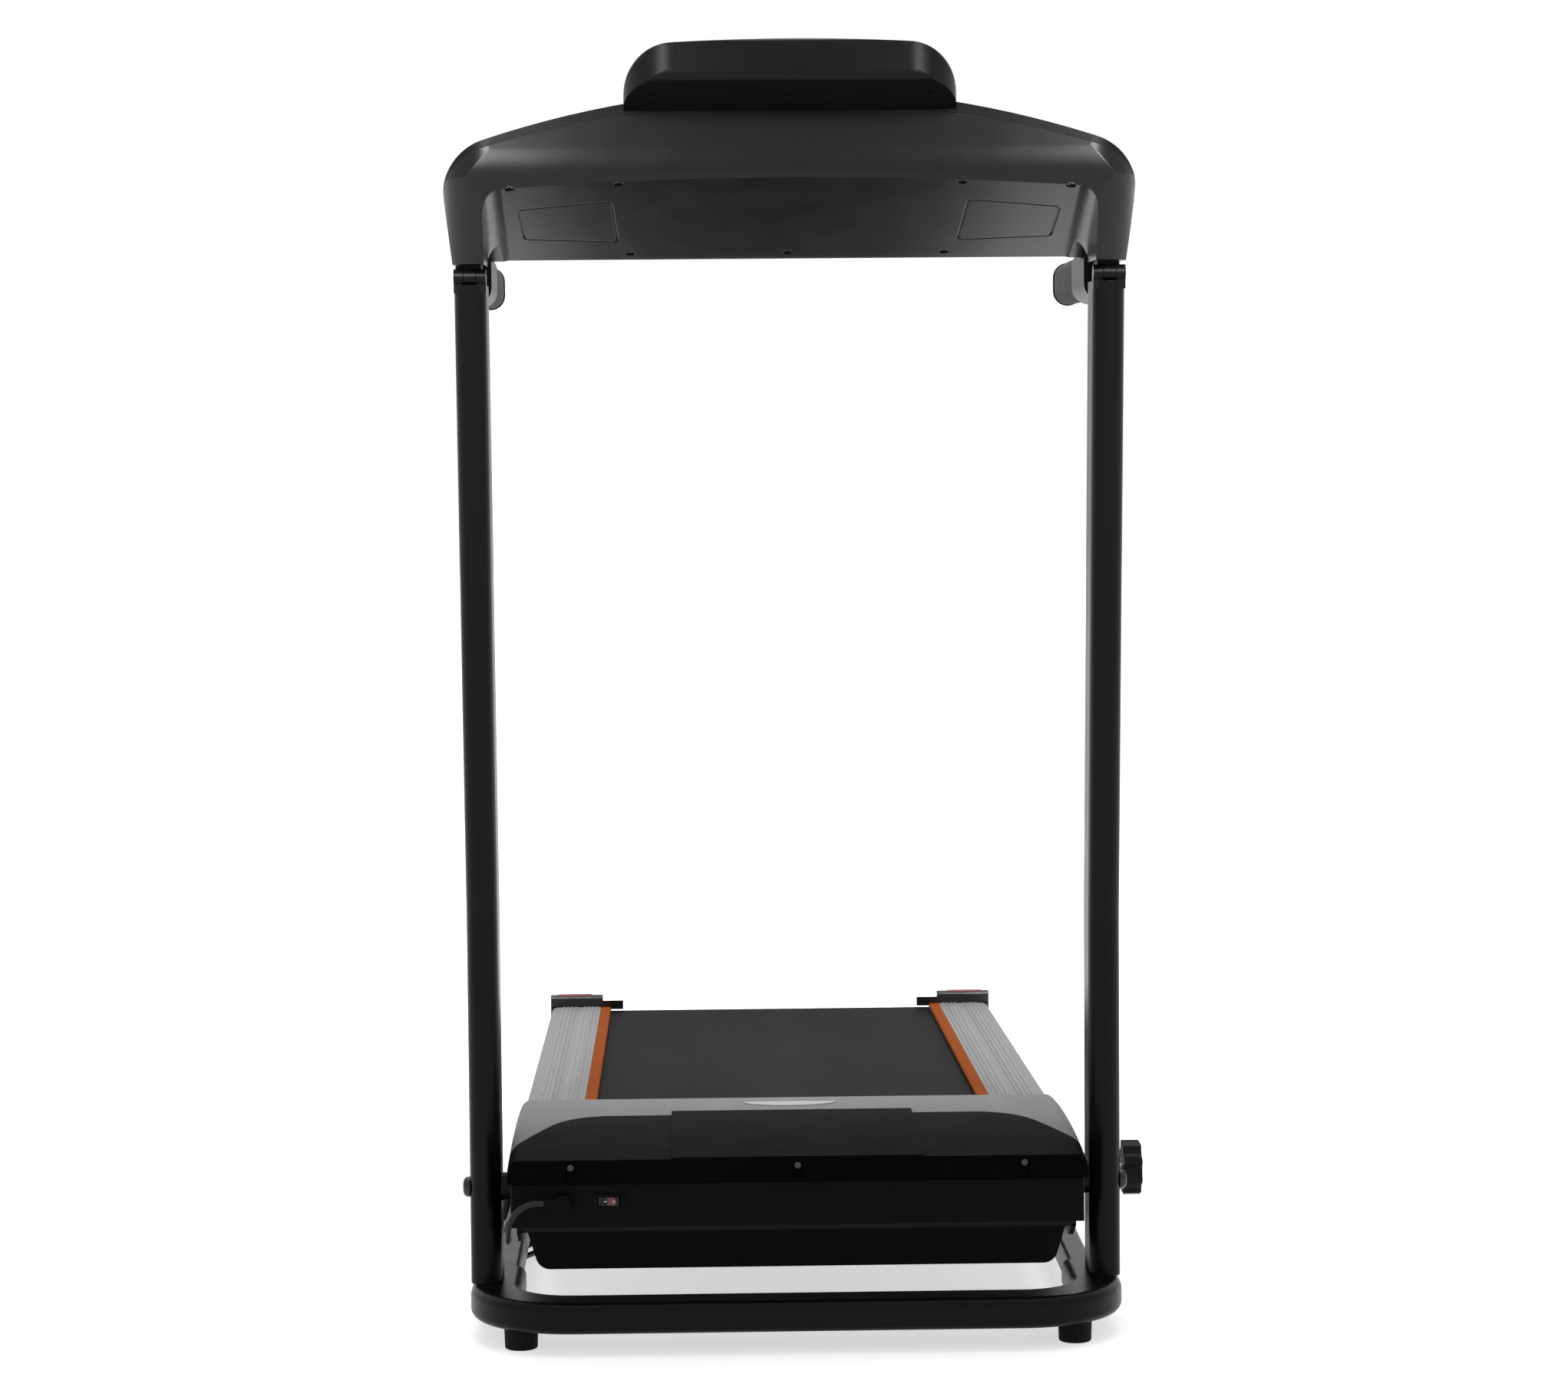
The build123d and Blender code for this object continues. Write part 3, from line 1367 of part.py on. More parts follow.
with BuildPart() as lower_region:
    with BuildSketch(Plane.XZ):
        add(console_front(0, rim_thickness, rim_shoulder, rim_side))
    extrude(amount=console_reach + console_half_width)
    with BuildSketch(desk_plane.offset(-rim_thickness)):
        Rectangle(2 * console_reach, 2 * console_reach)
    extrude(amount=-console_reach, mode=Mode.INTERSECT)

under_plane = Plane(origin=(0, crest_y, crest_z), x_dir=(1, 0, 0), z_dir=under_down)
screw_run = 14  # from the underside's front and rear edges
screw_outer = leg_inner_x - 26
screw_inner = leg_inner_x - 126
screw_rear = leg_inner_x - 134
under_screws = [
    (x, run)
    for run, places in (
        (screw_run, (-screw_outer, -screw_inner, screw_inner, screw_outer)),
        (under_run.length - screw_run, (-screw_rear, 0, screw_rear)),
    )
    for x in places
]
screw_sunk = 1.5
case_screw_length = 5
inlay_corners = (  # across, and back along the underside
    (leg_inner_x - 31, 63),
    (leg_inner_x - 119, 51),
    (leg_inner_x - 124, 147),
    (leg_inner_x - 34, 137),
)
with BuildPart() as inlay_cut:
    for side in (-1, 1):
        with BuildSketch(under_plane.offset(-console_half_width)):
            with BuildLine():
                FilletPolyline(*[(side * x, -run) for x, run in inlay_corners], radius=7, close=True)
            make_face()
            offset(amount=-panel_groove, mode=Mode.SUBTRACT)
        extrude(amount=console_reach)
    add(under_hollow(panel_recess), mode=Mode.INTERSECT)

with BuildPart() as console_lower_shell:
    add(console_shell.part)
    add(lower_region.part, mode=Mode.INTERSECT)
    add(inlay_cut.part, mode=Mode.SUBTRACT)
    for x, run in under_screws:
        level = arch_at(run) * (x / leg_inner_x) ** 2
        with BuildSketch(under_plane.offset(level + screw_sunk)):
            with Locations((x, -run)):
                Circle(case_screw_diameter / 2)
        extrude(amount=-2 * screw_sunk - case_screw_length, mode=Mode.SUBTRACT)
    with BuildSketch(Plane.XY.offset(leg_bottom_z)):
        with GridLocations(2 * stub_x, 1, 2, 1):
            with Locations((0, (stub_front + stub_rear) / 2)):
                Rectangle(stub_width, stub_depth)
    extrude(amount=console_wall, mode=Mode.SUBTRACT)
    with BuildSketch(Plane.XZ.offset(-leg_rear_y)):
        with Locations((-stub_x, arm_tube_z), (stub_x, arm_tube_z)):
            Circle(arm_tube_diameter / 2)
    extrude(amount=leg_rear_y - stub_rear, mode=Mode.SUBTRACT)
console_lower_shell.part.label = "console_lower_shell"
export_step(console_lower_shell.part, "parts/console_lower_shell.step")

well_wall = 2.5
well_corner = 14
key_socket_wall = 4
button_xs = [button_spacing * place for place in (-1.5, -0.5, 0.5, 1.5)]
with BuildPart() as console_upper_shell:
    add(console_shell.part)
    add(lower_region.part, mode=Mode.SUBTRACT)
    with BuildSketch(desk_plane.offset(-console_wall / 2)):
        with Locations((-well_x, well_at), (well_x, well_at)):
            RectangleRounded(
                well_width + 2 * well_wall, well_length + 2 * well_wall, well_corner + well_wall
            )
    extrude(amount=console_wall / 2 - well_depth - well_wall)
    with BuildSketch(desk_plane.offset(-console_wall / 2)):
        with Locations((0, key_at)):
            Circle(key_stem_diameter / 2 + key_socket_wall)
    extrude(amount=console_wall / 2 - key_stem_length - 2 * running_fit)
    with BuildSketch(desk_plane):
        with Locations((-well_x, well_at), (well_x, well_at)):
            RectangleRounded(well_width, well_length, well_corner)
    extrude(amount=-well_depth, mode=Mode.SUBTRACT)
    with BuildSketch(desk_plane):
        with Locations(*[(x, buttons_at) for x in button_xs]):
            Circle(button_diameter / 2 + slide_fit)
        with Locations((0, key_at)):
            Circle(key_stem_diameter / 2 + running_fit)
    extrude(amount=-key_stem_length - 2 * key_socket_wall, mode=Mode.SUBTRACT)
console_upper_shell.part.label = "console_upper_shell"
export_step(console_upper_shell.part, "parts/console_upper_shell.step")

# Steel inside the console: hinge barrels and stubs, a cross bar, and the handlebar tubes
stub_top = leg_bottom_z + 6 * console_wall
plate_bottom = leg_bottom_z + 1.2 * console_wall
cross_bar_at = well_at - well_length / 2 - well_wall - cross_bar_diameter / 2 - 2
cross_bar = desk_plane.from_local_coords(Vector(0, cross_bar_at, -cross_bar_sink))
arm_start = leg_rear_y
grip_start = arm_start + arm_cover_length
grip_end = grip_start + grip_length
with BuildPart() as console_frame:
    for side in (-1, 1):
        with BuildSketch(Plane.YZ.offset(side * stub_x)):
            with Locations((hinge_y, hinge_z)):
                Circle(knuckle_radius)
            with Locations(((hinge_y + stub_front) / 2, hinge_z + stub_gap)):
                Rectangle(stub_front - hinge_y, 2 * knuckle_radius - 2 * stub_gap)
        extrude(amount=knuckle_room / 2, both=True)
        with BuildSketch(Plane.YZ.offset(side * stub_x)):
            with Locations(((stub_front + stub_rear) / 2, (stub_bottom + stub_top) / 2)):
                Rectangle(stub_depth, stub_top - stub_bottom)
        extrude(amount=stub_width / 2, both=True)
        with BuildSketch(Plane.YZ.offset(side * stub_x)):
            with Locations((stub_front + stub_depth / 4, (plate_bottom + stub_top) / 2)):
                Rectangle(stub_depth / 2, stub_top - plate_bottom)
            with Locations((cross_bar.Y, cross_bar.Z)):
                Circle(cross_bar_diameter / 2)
            make_hull()
        extrude(amount=-side * stub_width / 2)
        with BuildSketch(Plane.YZ.offset(side * stub_x)):
            with Locations((hinge_y, hinge_z)):
                Circle(hinge_pin_diameter / 2 + running_fit)
        extrude(amount=knuckle_room / 2, both=True, mode=Mode.SUBTRACT)
        with BuildSketch(Plane.XZ.offset(-stub_rear)):
            with Locations((side * stub_x, arm_tube_z)):
                Circle(arm_tube_diameter / 2)
                Circle(arm_tube_diameter / 2 - upright_wall, mode=Mode.SUBTRACT)
        extrude(amount=stub_rear - grip_end)
    with BuildSketch(Plane.YZ.offset(stub_width / 2 - stub_x)):
        with Locations((cross_bar.Y, cross_bar.Z)):
            Circle(cross_bar_diameter / 2)
            Circle(cross_bar_diameter / 2 - upright_wall, mode=Mode.SUBTRACT)
    extrude(amount=2 * stub_x - stub_width)
console_frame.part.label = "console_frame"
export_step(console_frame.part, "parts/console_frame.step")

# Handlebars: a moulded cover next to the console, then a foam grip with an end cap
for side, name in ((-1, "left_arm_cover"), (1, "right_arm_cover")):
    with BuildPart() as arm_cover:
        with BuildSketch(Plane.XZ.offset(-arm_start)):
            with Locations((side * stub_x, arm_z)):
                SlotOverall(arm_height, arm_width, rotation=90)
            with Locations((side * stub_x, arm_tube_z)):
                Circle(arm_tube_diameter / 2, mode=Mode.SUBTRACT)
        extrude(amount=-arm_cover_length)
        add(console_form, mode=Mode.SUBTRACT)
    arm_cover.part.label = name
    export_step(arm_cover.part, f"parts/{name}.step")

with BuildPart() as handle_grips:
    with BuildSketch(Plane.XZ.offset(-grip_start)):
        with Locations((-stub_x, arm_z), (stub_x, arm_z)):
            SlotOverall(grip_height, grip_width, rotation=90)
        with Locations((-stub_x, arm_tube_z), (stub_x, arm_tube_z)):
            Circle(arm_tube_diameter / 2, mode=Mode.SUBTRACT)
    extrude(amount=-grip_length)
handle_grips.part.label = "handle_grips"
export_step(handle_grips.part, "parts/handle_grips.step")

with BuildPart() as grip_end_caps:
    with BuildSketch(Plane.XZ.offset(-grip_end)):
        with Locations((-stub_x, arm_z), (stub_x, arm_z)):
            SlotOverall(grip_height, grip_width, rotation=90)
    extrude(amount=-grip_cap_length)
    fillet(grip_end_caps.faces().sort_by(Axis.Y)[-2:].edges(), grip_cap_length * 0.7)
grip_end_caps.part.label = "grip_end_caps"
export_step(grip_end_caps.part, "parts/grip_end_caps.step")

# Display head: a deep shell that leans over the front of the desk, closed by the bezel
screen_run = Vector(0, screen_foot_y - head_rear_y, screen_foot_z - head_top_z)
screen_normal = Vector(1, 0, 0).cross(screen_run.normalized())
screen_plane = Plane(origin=(0, head_rear_y, head_top_z), x_dir=(1, 0, 0), z_dir=screen_normal)
front_run = Vector(0, desk_front_y - crest_y, desk_front_z - crest_z)
head_heel = Vector(0, crest_y, crest_z) + front_run * 0.83
heel_run = head_heel - Vector(0, head_low_y, head_low_z)
heel_plane = Plane(
    origin=(0, head_low_y, head_low_z),
    x_dir=(1, 0, 0),
    z_dir=heel_run.normalized().cross(Vector(1, 0, 0)),
)


def head_form(inset):
    """The display head's outer form, or its inside where inset is the wall."""
    with BuildPart() as form:
        with BuildSketch(Plane.YZ.offset(-head_half_width)):
            with BuildLine():
                FilletPolyline(
                    (head_low_y, head_low_z),
                    (head_front_y, head_top_z + 1),
                    (head_rear_y, head_top_z + 1),
                    (screen_foot_y, screen_foot_z),
                    (head_heel.Y, head_heel.Z),
                    radius=(9, 6, 1.5, 0, 0),
                    close=True,
                )
            make_face()
            if inset:
                offset(amount=-inset, kind=Kind.INTERSECTION)
        extrude(amount=2 * head_half_width)
        with BuildSketch(Plane.XZ) as front:
            with BuildLine():
                edge_z = head_top_z - head_arch
                top = ThreePointArc(
                    (-head_half_width, edge_z), (0, head_top_z), (head_half_width, edge_z)
                )
                foot_z = head_top_z - 4 * head_corner
                Polyline(
                    top @ 1, (head_half_width, foot_z), (-head_half_width, foot_z), top @ 0
                )
            make_face()
            fillet(front.vertices().sort_by(Axis.Y)[-2:], head_corner)
            if inset:
                offset(amount=-inset, kind=Kind.INTERSECTION)
        extrude(amount=console_reach + console_half_width, mode=Mode.INTERSECT)
        foot = Vector(0, head_low_y, head_low_z)
        lean = Vector(0, head_front_y, head_top_z) - foot
        add(rounded_front(inset, head_half_width, head_round, foot, lean), mode=Mode.INTERSECT)
        add(console_form, mode=Mode.SUBTRACT)
    return form.part


head_outer = head_form(0)
head_screw_inset = 27  # from the head's side to the outer screws
head_screw_x = head_half_width - head_screw_inset
head_screws = [(x, -heel_run.length / 2) for x in (-head_screw_x, 0, head_screw_x)]
with BuildPart() as display_head:
    add(head_outer)
    with BuildSketch(screen_plane):
        Rectangle(4 * head_half_width, 4 * head_half_width)
    extrude(amount=-bezel_depth, mode=Mode.SUBTRACT)
    add(head_form(head_wall), mode=Mode.SUBTRACT)
    with BuildSketch(heel_plane.offset(screw_sunk)):
        with Locations(*head_screws):
            Circle(case_screw_diameter / 2)
    extrude(amount=-2 * screw_sunk - case_screw_length, mode=Mode.SUBTRACT)
display_head.part.label = "display_head"
export_step(display_head.part, "parts/display_head.step")

lens_seat = lens_thickness + 0.5
window_margin = 6
with BuildPart() as display_bezel:
    with BuildSketch(screen_plane):
        Rectangle(4 * head_half_width, 4 * head_half_width)
    extrude(amount=-bezel_depth)
    add(head_outer, mode=Mode.INTERSECT)
    with BuildSketch(screen_plane):
        with Locations((0, lens_at)):
            RectangleRounded(lens_width, lens_height, 5)
    extrude(amount=-lens_seat, mode=Mode.SUBTRACT)
    with BuildSketch(screen_plane):
        with Locations((0, lens_at - window_margin / 2)):
            Rectangle(lens_width - 2 * window_margin, lens_height - 3 * window_margin)
    extrude(amount=-bezel_depth, mode=Mode.SUBTRACT)
display_bezel.part.label = "display_bezel"
export_step(display_bezel.part, "parts/display_bezel.step")

with BuildPart() as display_lens:
    with BuildSketch(screen_plane.offset(-lens_seat)):
        with Locations((0, lens_at)):
            RectangleRounded(lens_width, lens_height, 5)
    extrude(amount=lens_thickness)
display_lens.part.label = "display_lens"
export_step(display_lens.part, "parts/display_lens.step")

circuit_thickness = 1.6
with BuildPart() as display_board:
    with BuildSketch(screen_plane.offset(-bezel_depth)):
        with Locations((0, lens_at - window_margin / 2)):
            Rectangle(lens_width - window_margin, lens_height - 2 * window_margin)
    extrude(amount=-circuit_thickness)
    with BuildSketch(screen_plane.offset(-bezel_depth)):
        with Locations((0, lens_at - window_margin / 2)):
            Rectangle(lens_width - 4 * window_margin, lens_height - 5 * window_margin)
    extrude(amount=lens_thickness)
display_board.part.label = "display_board"
export_step(display_board.part, "parts/display_board.step")

with BuildPart() as console_screws:
    for x, run in under_screws:
        level = arch_at(run) * (x / leg_inner_x) ** 2
        with BuildSketch(under_plane.offset(level - screw_sunk)):
            with Locations((x, -run)):
                Circle(case_screw_diameter / 2)
                RegularPolygon(case_screw_diameter / 5, 6, mode=Mode.SUBTRACT)
        extrude(amount=-screw_sunk)
        with BuildSketch(under_plane.offset(level - 2 * screw_sunk)):
            with Locations((x, -run)):
                Circle(case_screw_diameter / 2)
        extrude(amount=screw_sunk - case_screw_length)
    with BuildSketch(heel_plane.offset(-screw_sunk)):
        with Locations(*head_screws):
            Circle(case_screw_diameter / 2)
    extrude(amount=-case_screw_length)
console_screws.part.label = "console_screws"
export_step(console_screws.part, "parts/console_screws.step")

# Push buttons in a row across the desk, and the safety key below them
flange_top = -console_wall - running_fit
button_names = ("speed_down_button", "start_button", "stop_button", "speed_up_button")
for x, name in zip(button_xs, button_names):
    with BuildPart() as button:
        with BuildSketch(desk_plane.offset(flange_top)):
            with Locations((x, buttons_at)):
                Circle(button_diameter / 2)
        extrude(amount=button_height - flange_top)
        fillet(button.faces().sort_by(Axis(desk_plane.origin, desk_normal))[-1].edges(), 1.2)
        with BuildSketch(desk_plane.offset(flange_top)):
            with Locations((x, buttons_at)):
                Circle(button_diameter / 2 + 2)
        extrude(amount=-button_flange)
    button.part.label = name
    export_step(button.part, f"parts/{name}.step")

with BuildPart() as safety_key:
    with BuildSketch(desk_plane.offset(running_fit)):
        with Locations((0, key_at)):
            Circle(key_diameter / 2)
    extrude(amount=key_height)
    fillet(safety_key.faces().sort_by(Axis(desk_plane.origin, desk_normal))[-1].edges(), 3)
    with BuildSketch(desk_plane.offset(running_fit)):
        with Locations((0, key_at)):
            Circle(key_stem_diameter / 2)
    extrude(amount=-key_stem_length)
safety_key.part.label = "safety_key"
export_step(safety_key.part, "parts/safety_key.step")

# Mains cord: from the gland round the left upright, under the runner and to a tied coil
cord_start = sleeve_start + sleeve_dir * sleeve_length
cord_z = cord_diameter / 2 + 0.2
coil_low_z = cord_diameter / 2 + tie_thickness + tie_room / 2
coil_high_z = coil_low_z + coil_pitch
coil_inner = coil_radius - coil_pitch * coil_turns
quarters = round(4 * coil_turns)


def coil_point(turn):
    """A point of the coil's line and its direction, turn counted in turns from its start."""
    angle = radians(coil_entry) + 2 * pi * turn
    outward = Vector(cos(angle), sin(angle))
    along = Vector(-sin(angle), cos(angle))
    if turn <= coil_turns:
        radius, slope, z, climb = coil_radius - coil_pitch * turn, -coil_pitch, coil_low_z, 0
    elif turn < coil_turns + 0.5:
        share = 2 * (turn - coil_turns)
        radius, slope = coil_inner, 0
        z = coil_low_z + coil_pitch * (3 - 2 * share) * share**2
        climb = 12 * coil_pitch * share * (1 - share)
    else:
        radius = coil_inner + coil_pitch * (turn - coil_turns - 0.5)
        slope, z, climb = coil_pitch, coil_high_z, 0
    place = Vector(coil_x, coil_y, z) + outward * radius
    heading = along * (2 * pi * radius) + outward * slope + Vector(0, 0, climb)
    return place, heading.normalized()


coil_start, coil_start_dir = coil_point(0)
coil_end, coil_end_dir = coil_point(2 * coil_turns + 0.5)
lead_in = coil_start - coil_start_dir * cord_diameter
lead_out = coil_end + coil_end_dir * plug_tail
cord_points = [
    cord_start,
    cord_start + sleeve_dir * 11.5,
    Vector(-262, -632.5, 140),
    Vector(-270.5, -632, 129),
    Vector(-273.8, -625.5, 116),
    Vector(-273, -608.5, 104.5),
    Vector(-274.5, -589, 102.5),
    Vector(-276.5, -563, 101.5),
    Vector(-277, -527, 103.5),
    Vector(-278, -487, 102),
    Vector(-283, -454, 90),
    Vector(-293, -431, 70),
    Vector(-301, -411, 43),
    Vector(-304.5, -385, 18),
    Vector(-305, -349, 3.6),
    Vector(-303.5, -302, cord_z),
    Vector(-298, -250, cord_z),
    Vector(-284, -198, cord_z),
    Vector(-262, -150, cord_z),
    Vector(-232, -108, cord_z),
    lead_in - coil_start_dir * 48,
    lead_in,
]


def bend_radii(points):
    """For each corner of a route, the largest round that its two runs allow."""
    radii = []
    for before, corner, after in zip(points, points[1:], points[2:]):
        turn = (corner - before).get_angle(after - corner)
        run = min((corner - before).length, (after - corner).length)
        radii.append(0.45 * run / tan(radians(turn / 2)))
    return radii


cord_radii = bend_radii(cord_points)
with BuildPart() as power_cord:
    with BuildLine():
        cord_path = FilletPolyline(*cord_points, radius=cord_radii)
    with BuildSketch(Plane(origin=cord_path @ 0, z_dir=cord_path % 0)):
        Circle(cord_diameter / 2)
    sweep(path=cord_path)
power_cord.part.label = "power_cord"
export_step(power_cord.part, "parts/power_cord.step")
cord_section = pi * cord_diameter**2 / 4
print("cord radii", [round(radius) for radius in cord_radii])
print("cord runs", [round((b - a).length) for a, b in zip(cord_points, cord_points[1:])])
print("cord length", round(cord_path.length))
print("cord volume over section times length", power_cord.part.volume / cord_section / cord_path.length)

# The coil: two layers of turns, inwards below and outwards above, as one tube on tangent arcs
steps = [coil_point(step / 4) for step in range(2 * quarters + 3)]
with BuildPart() as cord_coil:
    with BuildLine() as coil_turns_line:
        Line(lead_in, coil_start)
        for (start, start_dir), (end, end_dir) in zip(steps, steps[1:]):
            span = end - start
            both = start_dir + end_dir
            bend = 2 * (1 - start_dir.dot(end_dir))
            reach = (sqrt(span.dot(both) ** 2 + bend * span.dot(span)) - span.dot(both)) / bend
            joint = (start + end + (start_dir - end_dir) * reach) / 2
            TangentArc(start, joint, tangent=start_dir)
            TangentArc(joint, end, tangent=(end - end_dir * reach) - (start + start_dir * reach))
        Line(coil_end, lead_out)
    coil_path = coil_turns_line.wire()
    with BuildSketch(Plane(origin=lead_in, z_dir=coil_start_dir)):
        Circle(cord_diameter / 2)
    sweep(path=coil_path)
cord_coil.part.label = "cord_coil"
export_step(cord_coil.part, "parts/cord_coil.step")
samples = 600
coil_line = [coil_path @ (step / samples) for step in range(samples + 1)]
apart = round(samples * 4 * cord_diameter / coil_path.length)
least = min(
    (a - b).length for place, a in enumerate(coil_line) for b in coil_line[place + apart :]
)
print("coil length", round(coil_path.length), "least gap to itself", round(least - cord_diameter, 2))
print("coil volume over section times length", cord_coil.part.volume / cord_section / coil_path.length)

# A flat tie round the coil's turns on one side
tie_angle = coil_entry + 90
tie_out = Vector(cos(radians(tie_angle)), sin(radians(tie_angle)))
tie_inner = coil_inner + coil_pitch / 4 - cord_diameter / 2 - tie_room
tie_outer = coil_radius - coil_pitch / 4 + cord_diameter / 2 + tie_room
tie_low = coil_low_z - cord_diameter / 2 - tie_room / 2
tie_high = coil_high_z + cord_diameter / 2 + tie_room / 2
tie_centre = Vector(coil_x, coil_y, (tie_low + tie_high) / 2) + tie_out * ((tie_inner + tie_outer) / 2)
with BuildPart() as cord_tie:
    with BuildSketch(Plane(origin=tie_centre, x_dir=tie_out, z_dir=tie_out.cross(Vector(0, 0, 1)))):
        across, tall = tie_outer - tie_inner, tie_high - tie_low
        RectangleRounded(across + 2 * tie_thickness, tall + 2 * tie_thickness, 3)
        RectangleRounded(across, tall, 3 - tie_thickness, mode=Mode.SUBTRACT)
    extrude(amount=tie_width / 2, both=True)
cord_tie.part.label = "cord_tie"
export_step(cord_tie.part, "parts/cord_tie.step")

# A plain three-pin plug that lies on the floor beside the coil
plug_neck = 8
pin_length = 17
pin_width = 6.4
pin_thickness = 4
plug_plane = Plane(origin=lead_out, x_dir=Vector(0, 0, 1).cross(coil_end_dir), z_dir=coil_end_dir)
plug_height = 2 * lead_out.Z
with BuildPart() as power_plug:
    with BuildSketch(plug_plane):
        Circle(cord_diameter / 2 + 1.5)
    extrude(amount=plug_neck)
    with BuildSketch(plug_plane.offset(plug_neck)):
        RectangleRounded(plug_width, plug_height, 6)
    extrude(amount=plug_length - plug_neck)
    with BuildSketch(plug_plane.offset(plug_length)):
        with Locations((-plug_width / 4, -plug_height / 5), (plug_width / 4, -plug_height / 5)):
            Rectangle(pin_thickness, pin_width)
        with Locations((0, plug_height / 5)):
            Rectangle(pin_thickness, pin_width)
    extrude(amount=pin_length)
power_plug.part.label = "power_plug"
export_step(power_plug.part, "parts/power_plug.step")
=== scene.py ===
"""Dresses a folding treadmill with finishes, cord, grips and markings, in a pale studio."""

from math import cos, pi, radians, sin

import bpy
from bpy.props import FloatProperty, FloatVectorProperty, IntProperty, PointerProperty
from mathutils import Matrix, Vector


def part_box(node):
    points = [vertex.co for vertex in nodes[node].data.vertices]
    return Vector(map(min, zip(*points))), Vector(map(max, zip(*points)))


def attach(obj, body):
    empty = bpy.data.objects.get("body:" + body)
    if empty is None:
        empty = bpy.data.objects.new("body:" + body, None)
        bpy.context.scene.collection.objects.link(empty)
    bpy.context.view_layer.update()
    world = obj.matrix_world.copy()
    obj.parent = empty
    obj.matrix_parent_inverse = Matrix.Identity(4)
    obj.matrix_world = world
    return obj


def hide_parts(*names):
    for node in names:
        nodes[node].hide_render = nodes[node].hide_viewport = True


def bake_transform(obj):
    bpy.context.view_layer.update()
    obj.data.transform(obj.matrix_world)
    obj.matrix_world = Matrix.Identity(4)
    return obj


bl_info = {
    "name": "Folding treadmill",
    "version": (1, 0, 0),
    "blender": (4, 5, 0),
    "location": "View3D > Sidebar > Treadmill",
    "description": "Finishes, cord, grips and markings of a folding treadmill, and its studio",
    "category": "Object",
}

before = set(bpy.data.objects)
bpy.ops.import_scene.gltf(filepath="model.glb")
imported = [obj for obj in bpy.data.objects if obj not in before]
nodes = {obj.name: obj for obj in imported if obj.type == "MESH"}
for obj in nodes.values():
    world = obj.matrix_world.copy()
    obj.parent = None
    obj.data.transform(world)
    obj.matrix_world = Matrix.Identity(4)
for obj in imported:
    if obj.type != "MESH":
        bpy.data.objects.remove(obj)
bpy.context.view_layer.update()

# The deck slopes down to the rear from its pivot, and the desk slopes down towards the walker
DECK_PIVOT = Vector((0, -0.523, 0.142))
DECK_TILT = radians(1.6)
DECK_BACK = Vector((0, cos(DECK_TILT), -sin(DECK_TILT)))
DECK_UP = Vector((0, sin(DECK_TILT), cos(DECK_TILT)))
DESK_DOWN = Vector((0, 0.155, -0.122)).normalized()
DESK_UP = Vector((1, 0, 0)).cross(DESK_DOWN)

# The mains cord's route: out of its gland, round the panel's corner, down to the floor and back
CORD_ROUTE = (
    (-0.239624, -0.624997, 0.143852),
    (-0.250333, -0.628994, 0.145115),
    (-0.262, -0.6325, 0.14),
    (-0.2705, -0.632, 0.129),
    (-0.2738, -0.6255, 0.116),
    (-0.273, -0.6085, 0.1045),
    (-0.2745, -0.589, 0.1025),
    (-0.2765, -0.563, 0.1015),
    (-0.277, -0.527, 0.1035),
    (-0.278, -0.487, 0.102),
    (-0.283, -0.454, 0.09),
    (-0.293, -0.431, 0.07),
    (-0.301, -0.411, 0.043),
    (-0.3045, -0.385, 0.018),
    (-0.305, -0.349, 0.0036),
    (-0.3035, -0.302, 0.0032),
    (-0.298, -0.25, 0.0032),
    (-0.284, -0.198, 0.0032),
    (-0.262, -0.15, 0.0032),
    (-0.232, -0.108, 0.0032),
    (-0.182703, -0.059562, 0.0043),
    (-0.157316, -0.018825, 0.0043),
)
COIL_CENTRE = (-0.19, 0.01)
COIL_ENTRY = radians(-33.5)
COIL_LOW = 0.0043
COIL_STEPS = 24
CORD_END = 0.015  # length of each of the two straight steps into the plug

# Foam grips: sides of a sleeve, how its ends draw in, and the rounding of their edges
GRIP_SIDES = 40
GRIP_END = (0.93, 1, 0.95)
GRIP_ROUND = 0.0025

# The hood's plate: its place behind the pivot and over it, how flat its rear edge is, its rim
BADGE_BEHIND = 0.2
BADGE_ABOVE = 0.06
BADGE_FLAT = 0.12
BADGE_RIM = 0.0012

# Plates on the end caps: how their ends taper, and their gap to the cap's front
CAP_PLATE_TAPER = 0.94
CAP_PLATE_GAP = 0.004

# Flat pieces start this far off a surface and are then laid on it
CAP_PLATE_START = 0.01
SWITCH_MARK_START = 0.004

# Paler bands of the foot rails, by their distance from the middle
RAIL_BANDS = ((0.2213, 0.2327), (0.2446, 0.2569))

# What the display shows at rest, and each mark's step as a share of its height
DISPLAY_TEXT = "0:00  0.0  000"
DIGIT_STEPS = {"0": 0.8, ":": 0.3, ".": 0.3, " ": 0.9}
DIGIT_WIDTH = 0.5
DIGIT_STROKE = 0.12
DIGIT_BAR_ACROSS = 0.8  # share of a digit's width
DIGIT_BAR_UP = 0.42  # share of its height
DIGIT_LIFT = 0.0002  # above the board
DIGIT_GLOW = 9.0
WINDOW_CUT = 0.0015  # how far the window's outline is moved out to cut the head

SIGN_LIFT = 0.00005  # gap that keeps a sign's underside off its button
SIGN_ROUND = 0.0001

